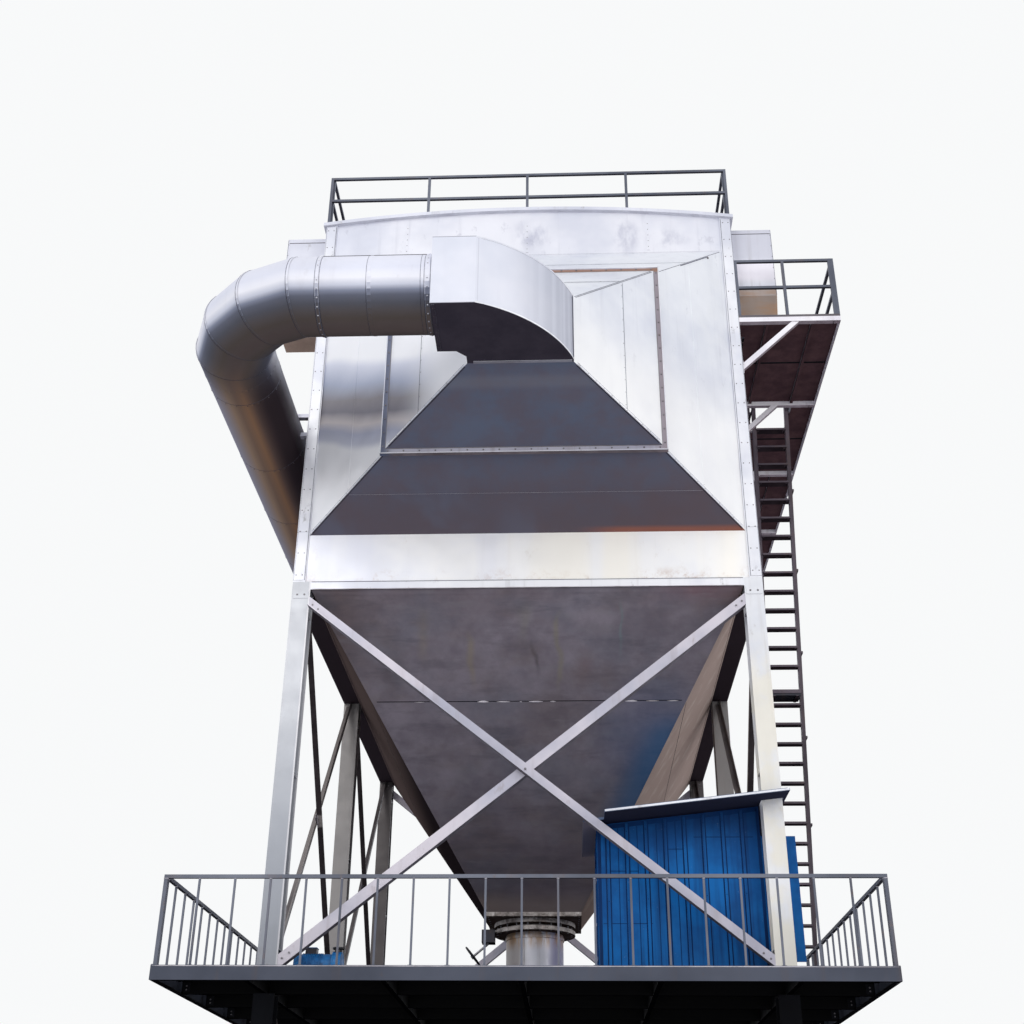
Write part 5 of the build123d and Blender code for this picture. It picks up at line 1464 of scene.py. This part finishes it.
def box_dressing():
    """The insulator boxes: folded edges, lids, sheet joints, doors with their rivets and handles."""
    made = Build("box_dressing", "box_sheet seam_dark bolt_steel dark_fitting")
    low, high = local(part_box("insulator_boxes_right"))
    starts, long = (0.25, 4.93), 0.8
    top, base, foot, head = high.z, 10.12, 10.32, 11.22
    for side in SIDES:
        inner, outer, facing = side * low.x, side * high.x, (side, 0, 0)
        start, end = min(inner, outer) + 0.02, max(inner, outer) - 0.004
        for near in starts:
            far = near + long
            for y, back in ((near, -1), (far, 1)):
                out = (0, back, 0)
                for h, wide in ((top - 0.05, 0.03), (10.78, 0.016), (10.25, 0.02)):
                    made.bar((start, y, h), (end, y, h), wide, 0.004, out)
                    made.bar((start, y, h - wide * 0.7), (end, y, h - wide * 0.7), 0.008, 0.003, out, 1)
                for x in (outer - side * 0.012, inner + side * 0.04):
                    made.bar((x, y, base), (x, y, top - 0.004), 0.02, 0.003, out)
                    face = y + back * 0.003
                    made.rivets((x, face, 10.16), (x, face, top - 0.05), 0.21, out, 0.007, 2)
                edge = outer - side * 0.004
                made.bar((edge, y, base), (edge, y, top), 0.006, 0.0035, out, 1)
            made.box((inner, near + 0.004, top - 0.004), (outer, far - 0.004, top + 0.012))
            for y in (near + 0.012, far - 0.012):
                made.bar((outer, y, base), (outer, y, top - 0.01), 0.02, 0.003, facing)
            # Inspection door on the outer face
            a, b, leaf = near + 0.16, far - 0.16, outer + side * 0.003
            made.box((outer, a, foot), (leaf, b, head))
            for y in (a, b):
                made.bar((outer, y, foot), (outer, y, head), 0.008, 0.004, facing, 1)
            for h in (foot, head):
                made.bar((outer, a, h), (outer, b, h), 0.008, 0.004, facing, 1)
            for h in (foot + 0.15, head - 0.15):
                for y in (a + 0.03, a + 0.08):
                    made.rivet((leaf, y, h), facing, 0.008, 2)
            made.rivet((leaf, b - 0.05, (foot + head) / 2), facing, 0.016, 3)
    made.done()


def roof_dressing():
    """Foot plates and bolts under the roof's end posts, the eaves flashing and its rivets."""
    made = Build("roof_dressing", "trim_sheet bolt_steel")
    low, high = local(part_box("roof"))
    eaves = high.z - 0.262
    for side in SIDES:
        x, out = side * high.x, (side, 0, 0)
        made.bar((x, low.y + 0.02, eaves), (x, high.y - 0.02, eaves), 0.04, 0.003, out)
        x += side * 0.003
        made.rivets((x, low.y + 0.1, eaves), (x, high.y - 0.1, eaves), 0.42, out, 0.008)
    half = local(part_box("roof_rail_sides"))[1].x - 0.02
    ends_low, ends_high = local(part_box("roof_rail_ends"))
    for y, inward in ((ends_low.y + 0.02, 0.06), (ends_high.y - 0.02, -0.06)):
        for x in spread(-half, half, 5):
            h = roof_height(x)
            for bolt in (x - 0.035, x + 0.035):
                made.bolt((max(-high.x + 0.02, min(high.x - 0.02, bolt)), y + inward, h), UP, 0.011)
            left, right = max(-high.x, x - 0.06), min(high.x, x + 0.06)
            made.box((left, y + inward * 0.4, h - 0.01), (right, y + inward * 1.5, h + 0.004))
    made.done()


def outlet_flange_dressing():
    """Bolts, joint line and corner welds on the rear outlet flange and the stub."""
    made = Build("outlet_flange_dressing", "bright_flange bolt_steel seam_dark weld_steel")
    low, high = local(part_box("outlet_flange"))
    face = low.y
    wide, tall = (high.x - low.x - 0.24) / 18, (high.z - low.z - 0.2) / 12
    across = spread(low.x + 0.12 + wide, high.x - 0.12 - wide, 9)
    upwards = spread(low.z + 0.1 + tall, high.z - 0.1 - tall, 6)
    made.bolts(across, [face], (low.z + 0.035, high.z - 0.035), AHEAD, 0.013)
    made.bolts((low.x + 0.035, high.x - 0.035), [face], upwards, AHEAD, 0.013)
    foot, head, near = stub_low.z, stub_high.z, stub_low.y
    for x, side in ((stub_low.x, -1), (stub_high.x, 1)):
        out = (side, 0, 0)
        made.bar((x, near + 0.03, head - 0.02), (x, face - 0.005, head - 0.02), 0.03, 0.003, out)
        made.bar((x, near + 0.12, foot + 0.02), (x, near + 0.12, head - 0.02), 0.02, 0.003, out, 2)
        made.bead((x, face - 0.006, foot), (x, face - 0.006, head), 0.006, out, 3, 0.05, 6)
    made.done()


shed_dressing()
pump_dressing()
box_dressing()
roof_dressing()
outlet_flange_dressing()


# The photo's camera, in casing coordinates, with its turn in degrees and its focus in the photo's pixels
CAMERA_PLACE = (0.540, -16.100, -2.338)
CAMERA_TURN = (2.624, 28.004, 0.534)
CAMERA_FOCUS, PHOTO_WIDTH = 1302.5, 1024
LAMPS = (
    ("key", (-14, -26, 20), (0, -4, 9), 2400, (1.0, 0.99, 0.97)),
    ("fill", (18, -20, 12), (0, -4, 9), 1650, (1.0, 0.98, 0.95)),
    ("rim", (4, 26, 22), (0, 4, 10), 2000, (0.97, 0.98, 1.0)),
)


def link(name, data):
    """A new object with the data, in the scene."""
    made = bpy.data.objects.new(name, data)
    bpy.context.scene.collection.objects.link(made)
    return made


def ground():
    """A pale floor that reaches far past the camera."""
    reach = 90.0
    mesh = bpy.data.meshes.new("floor")
    mesh.from_pydata([(-reach, -reach, 0), (reach, -reach, 0), (reach, reach, 0), (-reach, reach, 0)], [],
                     [(0, 1, 2, 3)])
    finish = bpy.data.materials.new("floor_pale")
    finish.use_nodes = True
    shader = finish.node_tree.nodes["Principled BSDF"]
    shader.inputs["Base Color"].default_value = (0.72, 0.72, 0.74, 1)
    shader.inputs["Roughness"].default_value = 0.9
    mesh.materials.append(finish)
    floor = link("floor", mesh)


def studio():
    """Soft light from the world, a pale backdrop and three area lamps."""
    world = bpy.data.worlds.new("studio")
    bpy.context.scene.world = world
    world.use_nodes = True
    tree = world.node_tree
    tree.nodes.clear()
    choose = tree.nodes.new("ShaderNodeMixShader")
    path = tree.nodes.new("ShaderNodeLightPath")
    tree.links.new(path.outputs["Is Camera Ray"], choose.inputs[0])
    for socket, colour, strength in ((1, (0.93, 0.95, 1.0, 1), 0.8), (2, (0.94, 0.95, 0.955, 1), 1.0)):
        light = tree.nodes.new("ShaderNodeBackground")
        light.inputs["Color"].default_value = colour
        light.inputs["Strength"].default_value = strength
        tree.links.new(light.outputs[0], choose.inputs[socket])
    tree.links.new(choose.outputs[0], tree.nodes.new("ShaderNodeOutputWorld").inputs[0])
    for name, place, aim, power, colour in LAMPS:
        data = bpy.data.lights.new(name, "AREA")
        data.shape = "SQUARE"
        data.size = 14.0
        data.energy = power
        data.color = colour
        lamp = link(name, data)
        lamp.location = place
        lamp.rotation_euler = (Vector(aim) - Vector(place)).to_track_quat("-Z", "Y").to_euler()


def camera():
    """The camera that the photo was taken with."""
    data = bpy.data.cameras.new("camera")
    data.sensor_fit = "HORIZONTAL"
    data.sensor_width = 36.0
    data.lens = CAMERA_FOCUS / PHOTO_WIDTH * data.sensor_width
    data.clip_end = 500.0
    made = link("camera", data)
    yaw, pitch, roll = (math.radians(angle) for angle in CAMERA_TURN)
    place = Matrix.Translation(ORIGIN + Vector(CAMERA_PLACE))
    aim = Matrix.Rotation(yaw, 4, "Z") @ Matrix.Rotation(math.pi / 2 + pitch, 4, "X")
    made.matrix_world = place @ aim @ Matrix.Rotation(roll, 4, "Z")
    bpy.context.scene.camera = made
    bpy.context.scene.view_settings.view_transform = "Standard"


ground()
studio()
camera()
